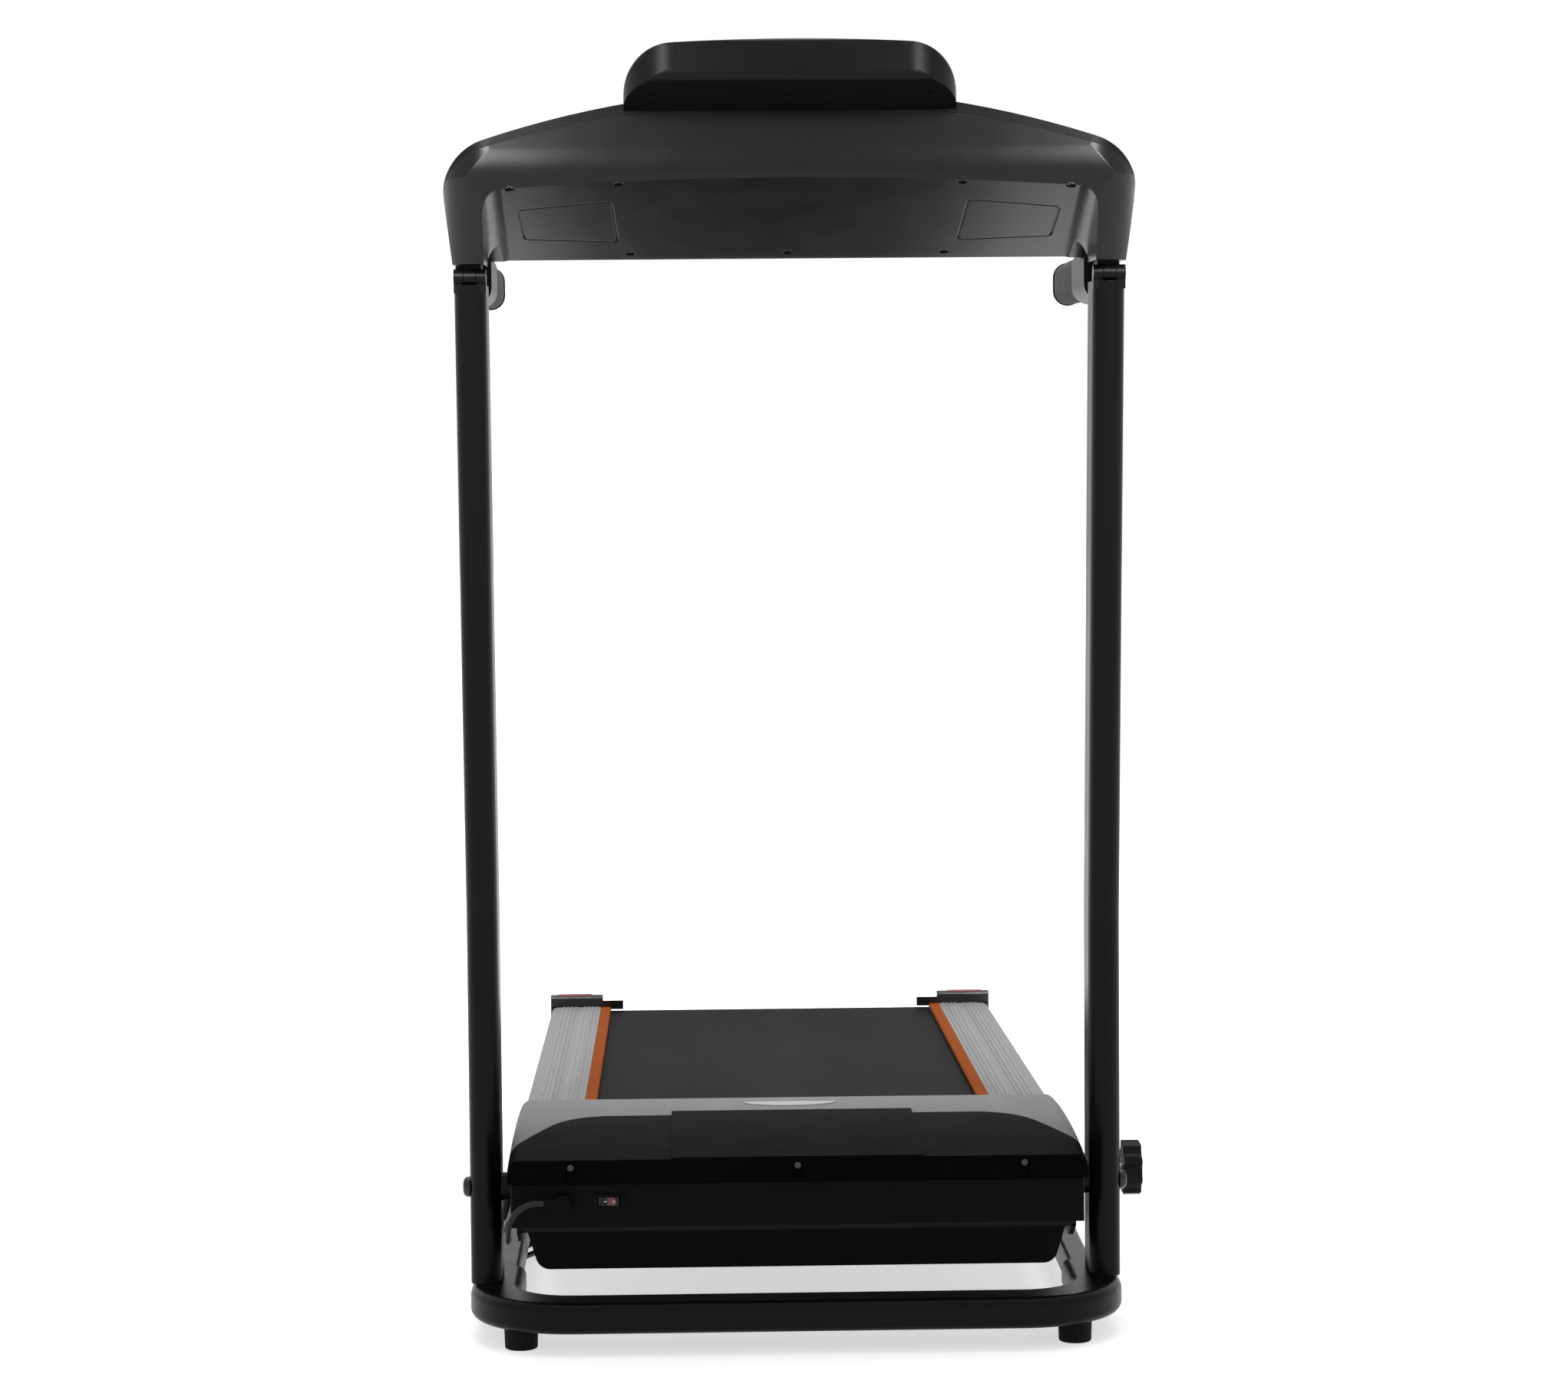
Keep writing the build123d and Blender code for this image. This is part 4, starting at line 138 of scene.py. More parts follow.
# Studio: name, place, target, width, height, power in watts and spread in degrees of each lamp
LAMPS = (
    ("top_box", (0, 0.2, 3.6), (0, 0, 0), 3.0, 2.6, 62, 180),
    ("left_box", (-0.47, -1.43, 1.52), (-0.32, -0.64, 1.12), 0.14, 0.5, 1.5, 50),
    ("right_box", (0.54, -1.43, 1.52), (0.34, -0.64, 1.12), 0.14, 0.5, 1.5, 50),
)
SKY_LIGHT = 0.42  # strength of the sky as a light, where it is 1 to the eye
FLOOR_GLOW = (0.62, 1, 0.8, 1.7)  # glow near and far, and the distances of both
FLOOR_LEVEL = -0.0005
CAMERA_PLACE = (-0.1024, -4.478, 0.876)
CAMERA_TURN = (-1.38, -3.85, -0.482)  # degrees: to the side, down, about its axis
SENSOR_WIDTH = 36
FOCAL_LENGTH = SENSOR_WIDTH * 5400 / 2043  # 5400 pixels, in a picture 2043 wide

FRAME_PARTS = (
    "base_frame",
    "left_upright",
    "right_upright",
    "deck_frame",
    "console_frame",
    "pivot_collars",
)


def measure(name, words, value, least):
    """A length that the panel shows."""
    return FloatProperty(name=name, description=words, default=value, min=least, unit="LENGTH")


class TreadmillSizes(bpy.types.PropertyGroup):
    """Sizes of the pieces that are modelled here."""

    cord_diameter: measure("Cord", "Outside of the mains cord", 0.006, 0.004)
    coil_radius: measure("Coil", "Outer turn's radius", 0.043, 0.03)
    coil_pitch: measure("Coil pitch", "Step from turn to turn", 0.0074, 0.0065)
    coil_turns: FloatProperty(
        name="Coil turns", description="Turns in each layer", default=2.5, min=1
    )
    grip_swell: measure("Grip swell", "How far the foam swells", 0.0008, 0)
    grip_rings: IntProperty(name="Grip rings", description="Rings along a grip", default=12, min=4)
    badge_width: measure("Badge width", "Bare plate on the hood", 0.093, 0.02)
    badge_depth: measure("Badge depth", "Bare plate, front to rear", 0.03, 0.01)
    cap_plate_width: measure("Cap plate", "Plate on an end cap, across", 0.042, 0.02)
    cap_plate_depth: measure("Cap plate depth", "Plate, front to rear", 0.026, 0.01)
    cap_plate_inset: measure("Cap plate inset", "From the cap's outer side", 0.009, 0.002)
    plate_thickness: measure("Plates", "Thickness of the bare plates", 0.0008, 0.0002)
    sign_size: measure("Button signs", "Width of a button's sign", 0.012, 0.004)
    sign_height: measure("Sign height", "How far signs stand up", 0.0003, 0.0001)
    digit_height: measure("Digits", "Height of a display digit", 0.013, 0.005)


def colour(name, words, value):
    """A colour that the panel shows."""
    return FloatVectorProperty(
        name=name, description=words, default=value, size=3, subtype="COLOR", min=0, max=1
    )


class TreadmillColours(bpy.types.PropertyGroup):
    """Colours of the finishes."""

    paint: colour("Frame paint", "Black powder coat", (0.0033, 0.0033, 0.0035))
    moulding: colour("Mouldings", "Black moulded plastic", (0.0075, 0.0075, 0.0078))
    panel: colour("Panel", "Matt black front panel and pan", (0.0034, 0.0034, 0.0036))
    console: colour("Console", "Charcoal underside and front", (0.003, 0.003, 0.0031))
    silver: colour("Rails", "Silver foot rails", (0.27, 0.271, 0.273))
    hood: colour("Hood", "Silver paint of the motor hood", (0.2, 0.201, 0.203))
    edge: colour("Edge strips", "Orange strips beside the belt", (0.3, 0.066, 0.01))
    belt: colour("Belt", "Top face of the running belt", (0.015, 0.015, 0.0153))
    rubber: colour("Rubber", "Feet and caps", (0.006, 0.006, 0.006))
    steel: colour("Steel", "Rollers and shafts", (0.52, 0.52, 0.53))
    sign: colour("Signs", "Marks on the switch and buttons", (0.8, 0.8, 0.8))
    window: colour("Switch window", "Red part of the rocker", (0.12, 0.004, 0.004))
    plate: colour("Cap plates", "Bare red plates on the end caps", (0.2, 0.02, 0.025))
    digits: colour("Digits", "Lit figures of the display", (0.9, 0.16, 0.05))
    floor: colour("Floor", "Pale studio floor", (0.92, 0.92, 0.92))


def sizes():
    return bpy.context.scene.treadmill_sizes


def colours():
    return bpy.context.scene.treadmill_colours


class Finish:
    """A material that is put together from shader nodes."""

    def __init__(self, name):
        self.material = bpy.data.materials.new(name)
        self.material.use_nodes = True
        self.tree = self.material.node_tree
        self.shader = self.tree.nodes["Principled BSDF"]
        self.place = self.add("TexCoord").outputs["Object"]

    def add(self, kind, **values):
        """A new node, with some inputs set or linked by name."""
        node = self.tree.nodes.new("ShaderNode" + kind)
        for name, value in values.items():
            self.feed(node.inputs[name.replace("_", " ")], value)
        return node

    def feed(self, socket, value):
        if isinstance(value, bpy.types.NodeSocket):
            self.tree.links.new(value, socket)
        else:
            socket.default_value = value

    def set(self, **values):
        for name, value in values.items():
            self.feed(self.shader.inputs[name.replace("_", " ")], value)
        return self

    def noise(self, scale, detail=3.0, stretch=(1, 1, 1)):
        """Noise with a given number of waves in a metre, stretched along an axis."""
        where = self.add("Mapping", Vector=self.place, Scale=stretch).outputs[0]
        return self.add("TexNoise", Vector=where, Scale=scale, Detail=detail).outputs[0]

    def spread(self, value, low, high, start=0.3, end=0.7):
        """Maps a texture's value to the range low to high."""
        node = self.add("MapRange", Value=value)
        names = ("From Min", "From Max", "To Min", "To Max")
        for name, number in zip(names, (start, end, low, high)):
            node.inputs[name].default_value = number
        return node.outputs[0]

    def sum(self, first, second):
        node = self.add("Math")
        self.feed(node.inputs[0], first)
        self.feed(node.inputs[1], second)
        return node.outputs[0]

    def stripes(self, bands, level=0.7):
        """A level between each pair of distances from the middle plane, and 0 elsewhere."""
        away = self.add("Math")
        away.operation = "ABSOLUTE"
        self.feed(away.inputs[0], self.add("SeparateXYZ", Vector=self.place).outputs["X"])
        total = None
        for near, far in bands:
            node = self.add("Math")
            node.operation = "COMPARE"
            self.feed(node.inputs[0], away.outputs[0])
            node.inputs[1].default_value = (near + far) / 2
            node.inputs[2].default_value = (far - near) / 2
            total = node.outputs[0] if total is None else self.sum(total, node.outputs[0])
        return self.spread(total, 0, level, 0, 1)

    def tint(self, value, dark, light):
        """A colour between dark and light."""
        node = self.tree.nodes.new("ShaderNodeMix")
        node.data_type = "RGBA"
        self.feed(node.inputs["Factor"], value)
        node.inputs["A"].default_value = (*dark, 1)
        node.inputs["B"].default_value = (*light, 1)
        return node.outputs["Result"]

    def relief(self, height, depth, strength=0.5, edge=0.0):
        """Bump, over edges that catch the light as rounded ones where edge is a radius."""
        bump = self.add("Bump", Height=height, Distance=depth, Strength=strength)
        if edge:
            rounded = self.tree.nodes.new("ShaderNodeBevel")
            rounded.samples = 4
            rounded.inputs["Radius"].default_value = edge
            self.tree.links.new(rounded.outputs[0], bump.inputs["Normal"])
        self.feed(self.shader.inputs["Normal"], bump.outputs[0])
        return self


def shade(base, factor):
    return tuple(min(1.0, part * factor) for part in base)


def grained(
    name, base, rough, specular, grain=1400, depth=0.00001, edge=0.0009, vary=0.1, gloss=0.02
):
    """Moulded plastic or paint with a fine grain and faintly uneven gloss."""
    look = Finish(name)
    cloud = look.spread(look.noise(7), 0, 1)
    look.set(
        Base_Color=look.tint(cloud, shade(base, 1 - vary), shade(base, 1 + vary)),
        Roughness=look.spread(look.noise(30, 4), rough - gloss, rough + gloss),
        Specular_IOR_Level=specular,
    )
    look.relief(look.noise(grain, 2), depth, 0.6, edge)
    return look.material


def silver_paint(name, base, bands=()):
    """Silver lacquer with fine flakes, streaks along the deck and paler bands on the rails."""
    look = Finish(name)
    flakes = look.add("TexVoronoi", Vector=look.place, Scale=1700.0).outputs["Distance"]
    streak = look.noise(40, 4, (1, 0.06, 1))
    mixed = look.add("Math", Value=flakes)
    mixed.operation = "MULTIPLY_ADD"
    mixed.inputs[1].default_value = 0.35
    look.feed(mixed.inputs[2], streak)
    tone = look.spread(mixed.outputs[0], 0, 1, 0.35, 0.95)
    if bands:
        tone = look.sum(tone, look.stripes(bands))
    look.set(
        Base_Color=look.tint(tone, shade(base, 0.86), shade(base, 1.1)),
        Roughness=look.spread(streak, 0.42, 0.56),
        Specular_IOR_Level=0.1,
    )
    look.relief(flakes, 0.00003, 0.4, 0.0008)
    return look.material


def belt_rubber(name, base):
    """Running belt: a fine diamond grain, a little scuffed along the middle."""
    look = Finish(name)
    weave = None
    for turn in (45, -45):
        where = look.add("Mapping", Vector=look.place)
        where.inputs["Rotation"].default_value = (0, 0, radians(turn))
        bands = look.add("TexWave", Vector=where.outputs[0], Scale=95.0)
        bands.wave_profile = "TRI"
        if weave is None:
            weave = bands.outputs["Fac"]
        else:
            both = look.add("Math")
            both.operation = "MULTIPLY"
            look.feed(both.inputs[0], weave)
            look.feed(both.inputs[1], bands.outputs["Fac"])
            weave = both.outputs[0]
    scuff = look.noise(9, 5, (1, 0.25, 1))
    look.set(
        Base_Color=look.tint(look.spread(scuff, 0, 1), shade(base, 0.8), shade(base, 1.3)),
        Roughness=look.spread(scuff, 0.58, 0.72),
        Specular_IOR_Level=0.015,
    )
    look.relief(weave, 0.0003, 0.5)
    return look.material


def bare_steel(name, base, rough, stretch):
    """Turned or plated steel with fine lines along one axis."""
    look = Finish(name)
    lines = look.noise(260, 4, stretch)
    look.set(
        Base_Color=look.tint(look.spread(lines, 0, 1), shade(base, 0.82), shade(base, 1.08)),
        Roughness=look.spread(lines, rough - 0.06, rough + 0.08),
        Metallic=1.0,
    )
    look.relief(lines, 0.00002, 0.4, 0.0005)
    return look.material


def foam(name, base):
    """Closed cell foam: dull, with fine pores."""
    look = Finish(name)
    pores = look.add("TexVoronoi", Vector=look.place, Scale=900.0).outputs["Distance"]
    depth = look.spread(pores, 0, 1, 0.1, 0.6)
    look.set(
        Base_Color=look.tint(depth, shade(base, 1.2), shade(base, 0.75)),
        Roughness=look.spread(look.noise(50), 0.78, 0.92),
        Specular_IOR_Level=0.25,
    )
    look.relief(pores, 0.0003, 0.5)
    return look.material


def fibreboard(name):
    """Pressed board under the belt, with its fibres along the deck."""
    look = Finish(name)
    fibres = look.noise(90, 5, (1, 0.12, 1))
    look.set(
        Base_Color=look.tint(look.spread(fibres, 0, 1), (0.12, 0.08, 0.05), (0.22, 0.155, 0.1)),
        Roughness=look.spread(fibres, 0.55, 0.72),
    )
    look.relief(fibres, 0.0001, 0.4)
    return look.material


def circuit(name):
    """Green circuit board with paler tracks."""
    look = Finish(name)
    tracks = look.add("TexBrick", Vector=look.place, Scale=160.0)
    tracks.inputs["Mortar Size"].default_value = 0.06
    lines = tracks.outputs["Fac"]
    look.set(
        Base_Color=look.tint(lines, (0.012, 0.09, 0.035), (0.05, 0.2, 0.08)),
        Roughness=look.spread(look.noise(60), 0.3, 0.45),
    )
    look.relief(lines, 0.00005, 0.4)
    return look.material


def smoked_window(name):
    """Dark clear plastic over the display."""
    look = Finish(name)
    smoke = look.spread(look.noise(5), 0, 1)
    look.set(
        Base_Color=look.tint(smoke, (0.15, 0.155, 0.16), (0.19, 0.195, 0.2)),
        Roughness=look.spread(look.noise(40), 0.03, 0.08),
        Transmission_Weight=0.93,
        IOR=1.49,
    )
    look.relief(look.noise(300), 0.00001, 0.2)
    return look.material


def dress(names, material):
    """Gives CAD pieces one finish."""
    for name in names:
        slots = nodes[name].data.materials
        slots.clear()
        slots.append(material)


def deselect():
    if bpy.context.object and bpy.context.object.mode != "OBJECT":
        bpy.ops.object.mode_set(mode="OBJECT")
    bpy.ops.object.select_all(action="DESELECT")


def settle(piece, name, material):
    """Names a new piece, puts its place into its mesh and gives it a finish."""
    deselect()
    piece.name = name
    piece.data.name = name
    bpy.context.view_layer.objects.active = piece
    piece.select_set(True)
    bpy.ops.object.transform_apply(location=True, rotation=True, scale=True)
    piece.data.materials.clear()
    piece.data.materials.append(material)
    return piece


def apply_all(piece):
    """Applies every modifier on a piece."""
    deselect()
    bpy.context.view_layer.objects.active = piece
    piece.select_set(True)
    for modifier in list(piece.modifiers):
        bpy.ops.object.modifier_apply(modifier=modifier.name)


def pick(piece, test):
    """In edit mode, selects the points of a piece that pass a test and what lies between."""
    bpy.ops.object.mode_set(mode="EDIT")
    bpy.ops.mesh.select_mode(type="VERT")
    bpy.ops.mesh.select_all(action="DESELECT")
    bpy.ops.object.mode_set(mode="OBJECT")
    for point in piece.data.vertices:
        point.select = test(point.co)
    bpy.ops.object.mode_set(mode="EDIT")


def join(pieces):
    """Makes one piece of several."""
    if len(pieces) == 1:
        return pieces[0]
    deselect()
    for piece in pieces:
        piece.select_set(True)
    bpy.context.view_layer.objects.active = pieces[0]
    bpy.ops.object.join()
    return pieces[0]


def facing(origin, across, up):
    """A placing matrix with X along across and Z along up."""
    deep = up.cross(across)
    turn = Matrix((across, deep, up)).transposed().to_4x4()
    return Matrix.Translation(origin) @ turn


def lay_on(piece, node, axis, thickness):
    """Lays a flat piece on a CAD node's surface, seen along an axis, and gives it thickness."""
    lay = piece.modifiers.new("lay", "SHRINKWRAP")
    lay.target = nodes[node]
    lay.wrap_method = "PROJECT"
    setattr(lay, "use_project_" + axis, True)
    lay.use_positive_direction = True
    lay.use_negative_direction = True
    lay.offset = thickness / 2
    thick = piece.modifiers.new("thick", "SOLIDIFY")
    thick.thickness = thickness
    thick.offset = 0
    apply_all(piece)


def coil_place(turn):
    """A point of the put-away coil, which winds in low down and out again on top."""
    values = sizes()
    angle = COIL_ENTRY + 2 * pi * turn
    inner = values.coil_radius - values.coil_pitch * values.coil_turns
    if turn <= values.coil_turns:
        radius, level = values.coil_radius - values.coil_pitch * turn, 0
    elif turn <= values.coil_turns + 0.5:
        share = 2 * (turn - values.coil_turns)
        radius, level = inner, (3 - 2 * share) * share**2
    else:
        radius, level = inner + values.coil_pitch * (turn - values.coil_turns - 0.5), 1
    return Vector(
        (
            COIL_CENTRE[0] + radius * cos(angle),
            COIL_CENTRE[1] + radius * sin(angle),
            COIL_LOW + values.coil_pitch * level,
        )
    )


class TREADMILL_OT_mains_cord(bpy.types.Operator):
    """Lay the mains cord along its route and into its coil"""

    bl_idname = "treadmill.mains_cord"
    bl_label = "Mains cord"

    def execute(self, context):
        values = sizes()
        last_turn = 2 * values.coil_turns + 0.5
        count = round(last_turn * COIL_STEPS)
        points = [Vector(p) for p in CORD_ROUTE]
        points += [coil_place(last_turn * step / count) for step in range(count + 1)]
        end_way = (points[-1] - coil_place(last_turn - 0.01)).normalized()
        for _ in range(2):
            points.append(points[-1] + end_way * CORD_END)

        line = bpy.data.curves.new("cord_line", "CURVE")
        line.dimensions = "3D"
        line.resolution_u = 6
        spline = line.splines.new("NURBS")
        spline.points.add(len(points) - 1)
        for spot, point in zip(spline.points, points):
            spot.co = (*point, 1)
        spline.order_u = 3
        spline.use_endpoint_u = True
        cord = bpy.data.objects.new("mains_cord", line)
        context.collection.objects.link(cord)
        context.view_layer.update()
        bare_line = cord.evaluated_get(context.evaluated_depsgraph_get())
        thread = bpy.data.meshes.new_from_object(bare_line)
        bpy.data.meshes.remove(thread)

        line.bevel_depth = values.cord_diameter / 2
        line.bevel_resolution = 3
        line.use_fill_caps = True
        deselect()
        cord.select_set(True)
        context.view_layer.objects.active = cord
        bpy.ops.object.convert(target="MESH")
        bpy.ops.object.shade_smooth()
        sheath = grained("cord_sheath", shade(colours().rubber, 1.8), 0.4, 0.25, 500, 0.00004, 0)
        settle(cord, "mains_cord", sheath)
        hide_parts("power_cord", "cord_coil")
        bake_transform(cord)
        dress(("power_plug",), sheath)
        dress(("cord_tie",), grained("tie_strap", colours().rubber, 0.7, 0.3, 800, 0.0001, 0))
        return {"FINISHED"}


class TREADMILL_OT_frame_finish(bpy.types.Operator):
    """Paint the steel frame, and give bolts, rollers and feet their finishes"""

    bl_idname = "treadmill.frame_finish"
    bl_label = "Frame and fittings"

    def execute(self, context):
        tone = colours()
        dress(FRAME_PARTS, grained("frame_paint", tone.paint, 0.32, 0.1, 420, 0.00005))
        dress(
            ("front_feet", "rear_feet", "leg_feet", "board_cushions", "drive_belt", "grip_end_caps"),
            grained("foot_rubber", tone.rubber, 0.72, 0.12, 700, 0.00012),
        )
        dress(("left_wheel", "right_wheel"), grained("wheel_plastic", tone.moulding, 0.5, 0.15))
        dress(
            ("front_roller", "rear_roller", "motor_rotor", "lock_pin", "roller_axles", "wheel_axles"),
            bare_steel("turned_steel", tone.steel, 0.3, (8, 1, 1)),
        )
        dress(("motor",), grained("motor_paint", (0.05, 0.05, 0.052), 0.45, 0.4))
        dress(("tension_bolts",), bare_steel("bright_zinc", (0.72, 0.72, 0.74), 0.16, (1, 1, 1)))
        dress(
            ("pivot_bolts", "hinge_pins", "console_screws", "hood_screws"),
            grained("black_steel", (0.006, 0.006, 0.0065), 0.1, 0.4, 300, 0.00002, 0.0006),
        )
        return {"FINISHED"}


class TREADMILL_OT_deck_finish(bpy.types.Operator):
    """Finish the deck, the hood and the front panel"""

    bl_idname = "treadmill.deck_finish"
    bl_label = "Deck and hood"

    def execute(self, context):
        tone = colours()
        dress(("left_rail", "right_rail"), silver_paint("rail_silver", tone.silver, RAIL_BANDS))
        dress(("motor_hood",), silver_paint("hood_silver", tone.hood))
        dress(
            ("edge_strips",),
            grained("orange_strip", tone.edge, 0.6, 0.01, 900, 0.00006, 0.0005, 0.05),
        )
        dress(("running_belt",), belt_rubber("belt_rubber", tone.belt))
        dress(("running_board",), fibreboard("fibreboard"))
        dress(
            ("hood_nose",),
            grained("nose_plastic", tone.panel, 0.55, 0.008, edge=0.0012, vary=0.05),
        )
        dress(
            ("left_end_cap", "right_end_cap"),
            grained("cap_plastic", tone.panel, 0.16, 0.5, 500),
        )
        dress(
            ("front_panel", "belly_pan", "switch_bezel", "strain_relief"),
            grained("panel_plastic", tone.panel, 0.5, 0.05),
        )
        dress(("rocker",), grained("rocker_plastic", tone.panel, 0.3, 0.2, 900, 0.00002, 0.0004))
        dress(("controller_board", "display_board"), circuit("circuit_board"))
        return {"FINISHED"}


class TREADMILL_OT_console_finish(bpy.types.Operator):
    """Finish the console, its head, handlebars and buttons"""

    bl_idname = "treadmill.console_finish"
    bl_label = "Console"

    def execute(self, context):
        tone = colours()
        dress(
            ("console_lower_shell",),
            grained("charcoal_plastic", tone.console, 0.25, 0.25, 1100, 0.000004, 0.0012, 0.05),
        )
        dress(
            ("console_upper_shell", "display_head", "left_arm_cover", "right_arm_cover", "lock_knob"),
            grained("black_plastic", tone.panel, 0.38, 0.12),
        )
        dress(("display_bezel",), grained("bezel_plastic", tone.panel, 0.22, 0.3, 900, 0.00002))
        dress(("display_lens",), smoked_window("smoked_window"))
        for names, name, base in (
            (("speed_down_button", "speed_up_button"), "grey_button", (0.2, 0.2, 0.205)),
            (("start_button",), "green_button", (0.02, 0.22, 0.05)),
            (("stop_button", "safety_key"), "red_button", (0.42, 0.014, 0.01)),
        ):
            dress(names, grained(name, base, 0.36, 0.45, 1000, 0.00003, 0.0006, 0.06))
        return {"FINISHED"}


class TREADMILL_OT_handle_foam(bpy.types.Operator):
    """Model the foam sleeves of the handlebars"""

    bl_idname = "treadmill.handle_foam"
    bl_label = "Handle foam"

    def execute(self, context):
        values = sizes()
        places = [v.co for v in nodes["handle_grips"].data.vertices]
        sleeves = []
        for side in (-1, 1):
            own = [p for p in places if p.x * side > 0]
            low = Vector([min(p[i] for p in own) for i in range(3)])
            high = Vector([max(p[i] for p in own) for i in range(3)])
            middle, size = (low + high) / 2, high - low
            deselect()
            bpy.ops.mesh.primitive_cylinder_add(
                vertices=GRIP_SIDES,
                radius=size.x / 2,
                depth=size.y,
                end_fill_type="NGON",
                location=middle,
            )
            sleeve = context.object
            sleeve.rotation_euler = (pi / 2, 0, 0)
            bpy.ops.object.transform_apply(location=False, rotation=True, scale=False)
            stretch = (size.z - size.x) / 2
            for part in (1, -1):
                pick(sleeve, lambda p: p.z * part > size.x * 0.02)
                bpy.ops.transform.translate(value=(0, 0, part * stretch))
            bpy.ops.object.mode_set(mode="EDIT")
            for ring in range(1, values.grip_rings):
                bpy.ops.mesh.select_all(action="SELECT")
                level = low.y + size.y * ring / values.grip_rings
                bpy.ops.mesh.bisect(plane_co=(middle.x, level, middle.z), plane_no=(0, 1, 0))
            for ring in range(1, values.grip_rings):
                level = size.y * ring / values.grip_rings - size.y / 2
                swell = 1 - (2 * ring / values.grip_rings - 1) ** 2
                pick(sleeve, lambda p: abs(p.y - level) < 0.001)
                grow = 1 - 2 * values.grip_swell * (1 - swell) / size.x
                bpy.ops.transform.resize(value=(grow, 1, grow), center_override=middle)
            pick(sleeve, lambda p: abs(abs(p.y) - size.y / 2) < 0.0005)
            bpy.ops.transform.resize(value=GRIP_END, center_override=middle)
            bpy.ops.object.mode_set(mode="OBJECT")
            sleeves.append(sleeve)
        grips = join(sleeves)
        settle(grips, "handle_foam", foam("grip_foam", (0.08, 0.08, 0.081)))
        round_off = grips.modifiers.new("round", "BEVEL")
        round_off.width = GRIP_ROUND
        round_off.segments = 3
        round_off.limit_method = "ANGLE"
        round_off.angle_limit = radians(50)
        apply_all(grips)
        bpy.ops.object.shade_smooth_by_angle(angle=radians(40))
        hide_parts("handle_grips")
        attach(grips, "console")
        return {"FINISHED"}


class TREADMILL_OT_hood_badge(bpy.types.Operator):
    """Model the bare plate on the hood"""

    bl_idname = "treadmill.hood_badge"
    bl_label = "Bare badge plate"

    def execute(self, context):
        values = sizes()
        deselect()
        bpy.ops.mesh.primitive_circle_add(vertices=48, radius=0.5, fill_type="NGON")
        badge = context.object
        bpy.ops.object.mode_set(mode="EDIT")
        bpy.ops.mesh.select_all(action="SELECT")
        bpy.ops.transform.resize(value=(values.badge_width, 2 * values.badge_depth, 1))
        pick(badge, lambda p: p.y > 0)
        bpy.ops.transform.resize(value=(1, BADGE_FLAT, 1), center_override=(0, 0, 0))
        bpy.ops.object.mode_set(mode="EDIT")
        bpy.ops.mesh.select_all(action="SELECT")
        bpy.ops.mesh.inset(thickness=BADGE_RIM)
        bpy.ops.object.mode_set(mode="OBJECT")
        place = DECK_PIVOT + DECK_BACK * BADGE_BEHIND + DECK_UP * BADGE_ABOVE
        badge.matrix_world = facing(place, Vector((1, 0, 0)), DECK_UP)
        plate = bare_steel("badge_metal", (0.4, 0.415, 0.44), 0.38, (10, 1, 1))
        settle(badge, "hood_badge", plate)
        lay_on(badge, "motor_hood", "z", values.plate_thickness)
        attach(badge, "deck")
        return {"FINISHED"}


class TREADMILL_OT_cap_plates(bpy.types.Operator):
    """Model the bare red plates on top of the rear end caps"""

    bl_idname = "treadmill.cap_plates"
    bl_label = "End cap plates"

    def execute(self, context):
        values = sizes()
        red = grained("plate_red", colours().plate, 0.14, 0.5, 500, 0.00001, 0.0003, 0.06)
        for side, node in ((-1, "left_end_cap"), (1, "right_end_cap")):
            low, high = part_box(node)
            outer = max(abs(low.x), abs(high.x))
            wide = values.cap_plate_width
            deselect()
            bpy.ops.mesh.primitive_grid_add(
                x_subdivisions=16,
                y_subdivisions=6,
                size=1,
                location=(0, 0, high.z + CAP_PLATE_START),
            )
            plate = context.object
            bpy.ops.object.mode_set(mode="EDIT")
            bpy.ops.mesh.select_all(action="SELECT")
            bpy.ops.transform.resize(value=(wide, values.cap_plate_depth, 1))
            pick(plate, lambda p: abs(abs(p.x) - wide / 2) < 0.0005)
            bpy.ops.transform.resize(value=(1, CAP_PLATE_TAPER, 1), center_override=plate.location)
            bpy.ops.object.mode_set(mode="OBJECT")
            plate.location.x = side * (outer - values.cap_plate_inset - wide / 2)
            plate.location.y = low.y + CAP_PLATE_GAP + values.cap_plate_depth / 2
            settle(plate, node.replace("end_cap", "cap_plate"), red)
            lay_on(plate, node, "z", values.plate_thickness)
            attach(plate, "deck")
        return {"FINISHED"}


class TREADMILL_OT_switch_marks(bpy.types.Operator):
    """Model the rocker's red window and its on and off marks"""

    bl_idname = "treadmill.switch_marks"
    bl_label = "Switch marks"

    def execute(self, context):
        tone = colours()
        low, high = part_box("rocker")
        middle = (low + high) / 2
        front = low.y - SWITCH_MARK_START
        white = grained("switch_white", tone.sign, 0.4, 0.5, 900, 0.00001, 0, 0.04)
        red = grained("switch_red", tone.window, 0.25, 0.5, 900, 0.00001, 0, 0.06)
        for name, shape, shift, scale, thickness, look in (
            ("switch_window", "plate", 0.002, (0.0072, 0.0072, 1), 0.0002, red),
            ("switch_on_mark", "plate", -0.0035, (0.0026, 0.0008, 1), 0.0005, white),
            ("switch_off_mark", "ring", 0.0045, (1, 1, 0.02), 0.0005, white),
        ):
            deselect()
            place = (middle.x + shift, front, middle.z)
            if shape == "ring":
                bpy.ops.mesh.primitive_torus_add(
                    major_radius=0.0012,
                    minor_radius=0.0003,
                    major_segments=32,
                    minor_segments=8,
                    location=place,
                )
            else:
                bpy.ops.mesh.primitive_grid_add(
                    x_subdivisions=12, y_subdivisions=6, size=1, location=place
                )
            mark = context.object
            mark.rotation_euler = (pi / 2, 0, 0)
            mark.scale = scale
            settle(mark, name, look)
            lay_on(mark, "rocker", "y", thickness)
            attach(mark, "rocker")
        return {"FINISHED"}


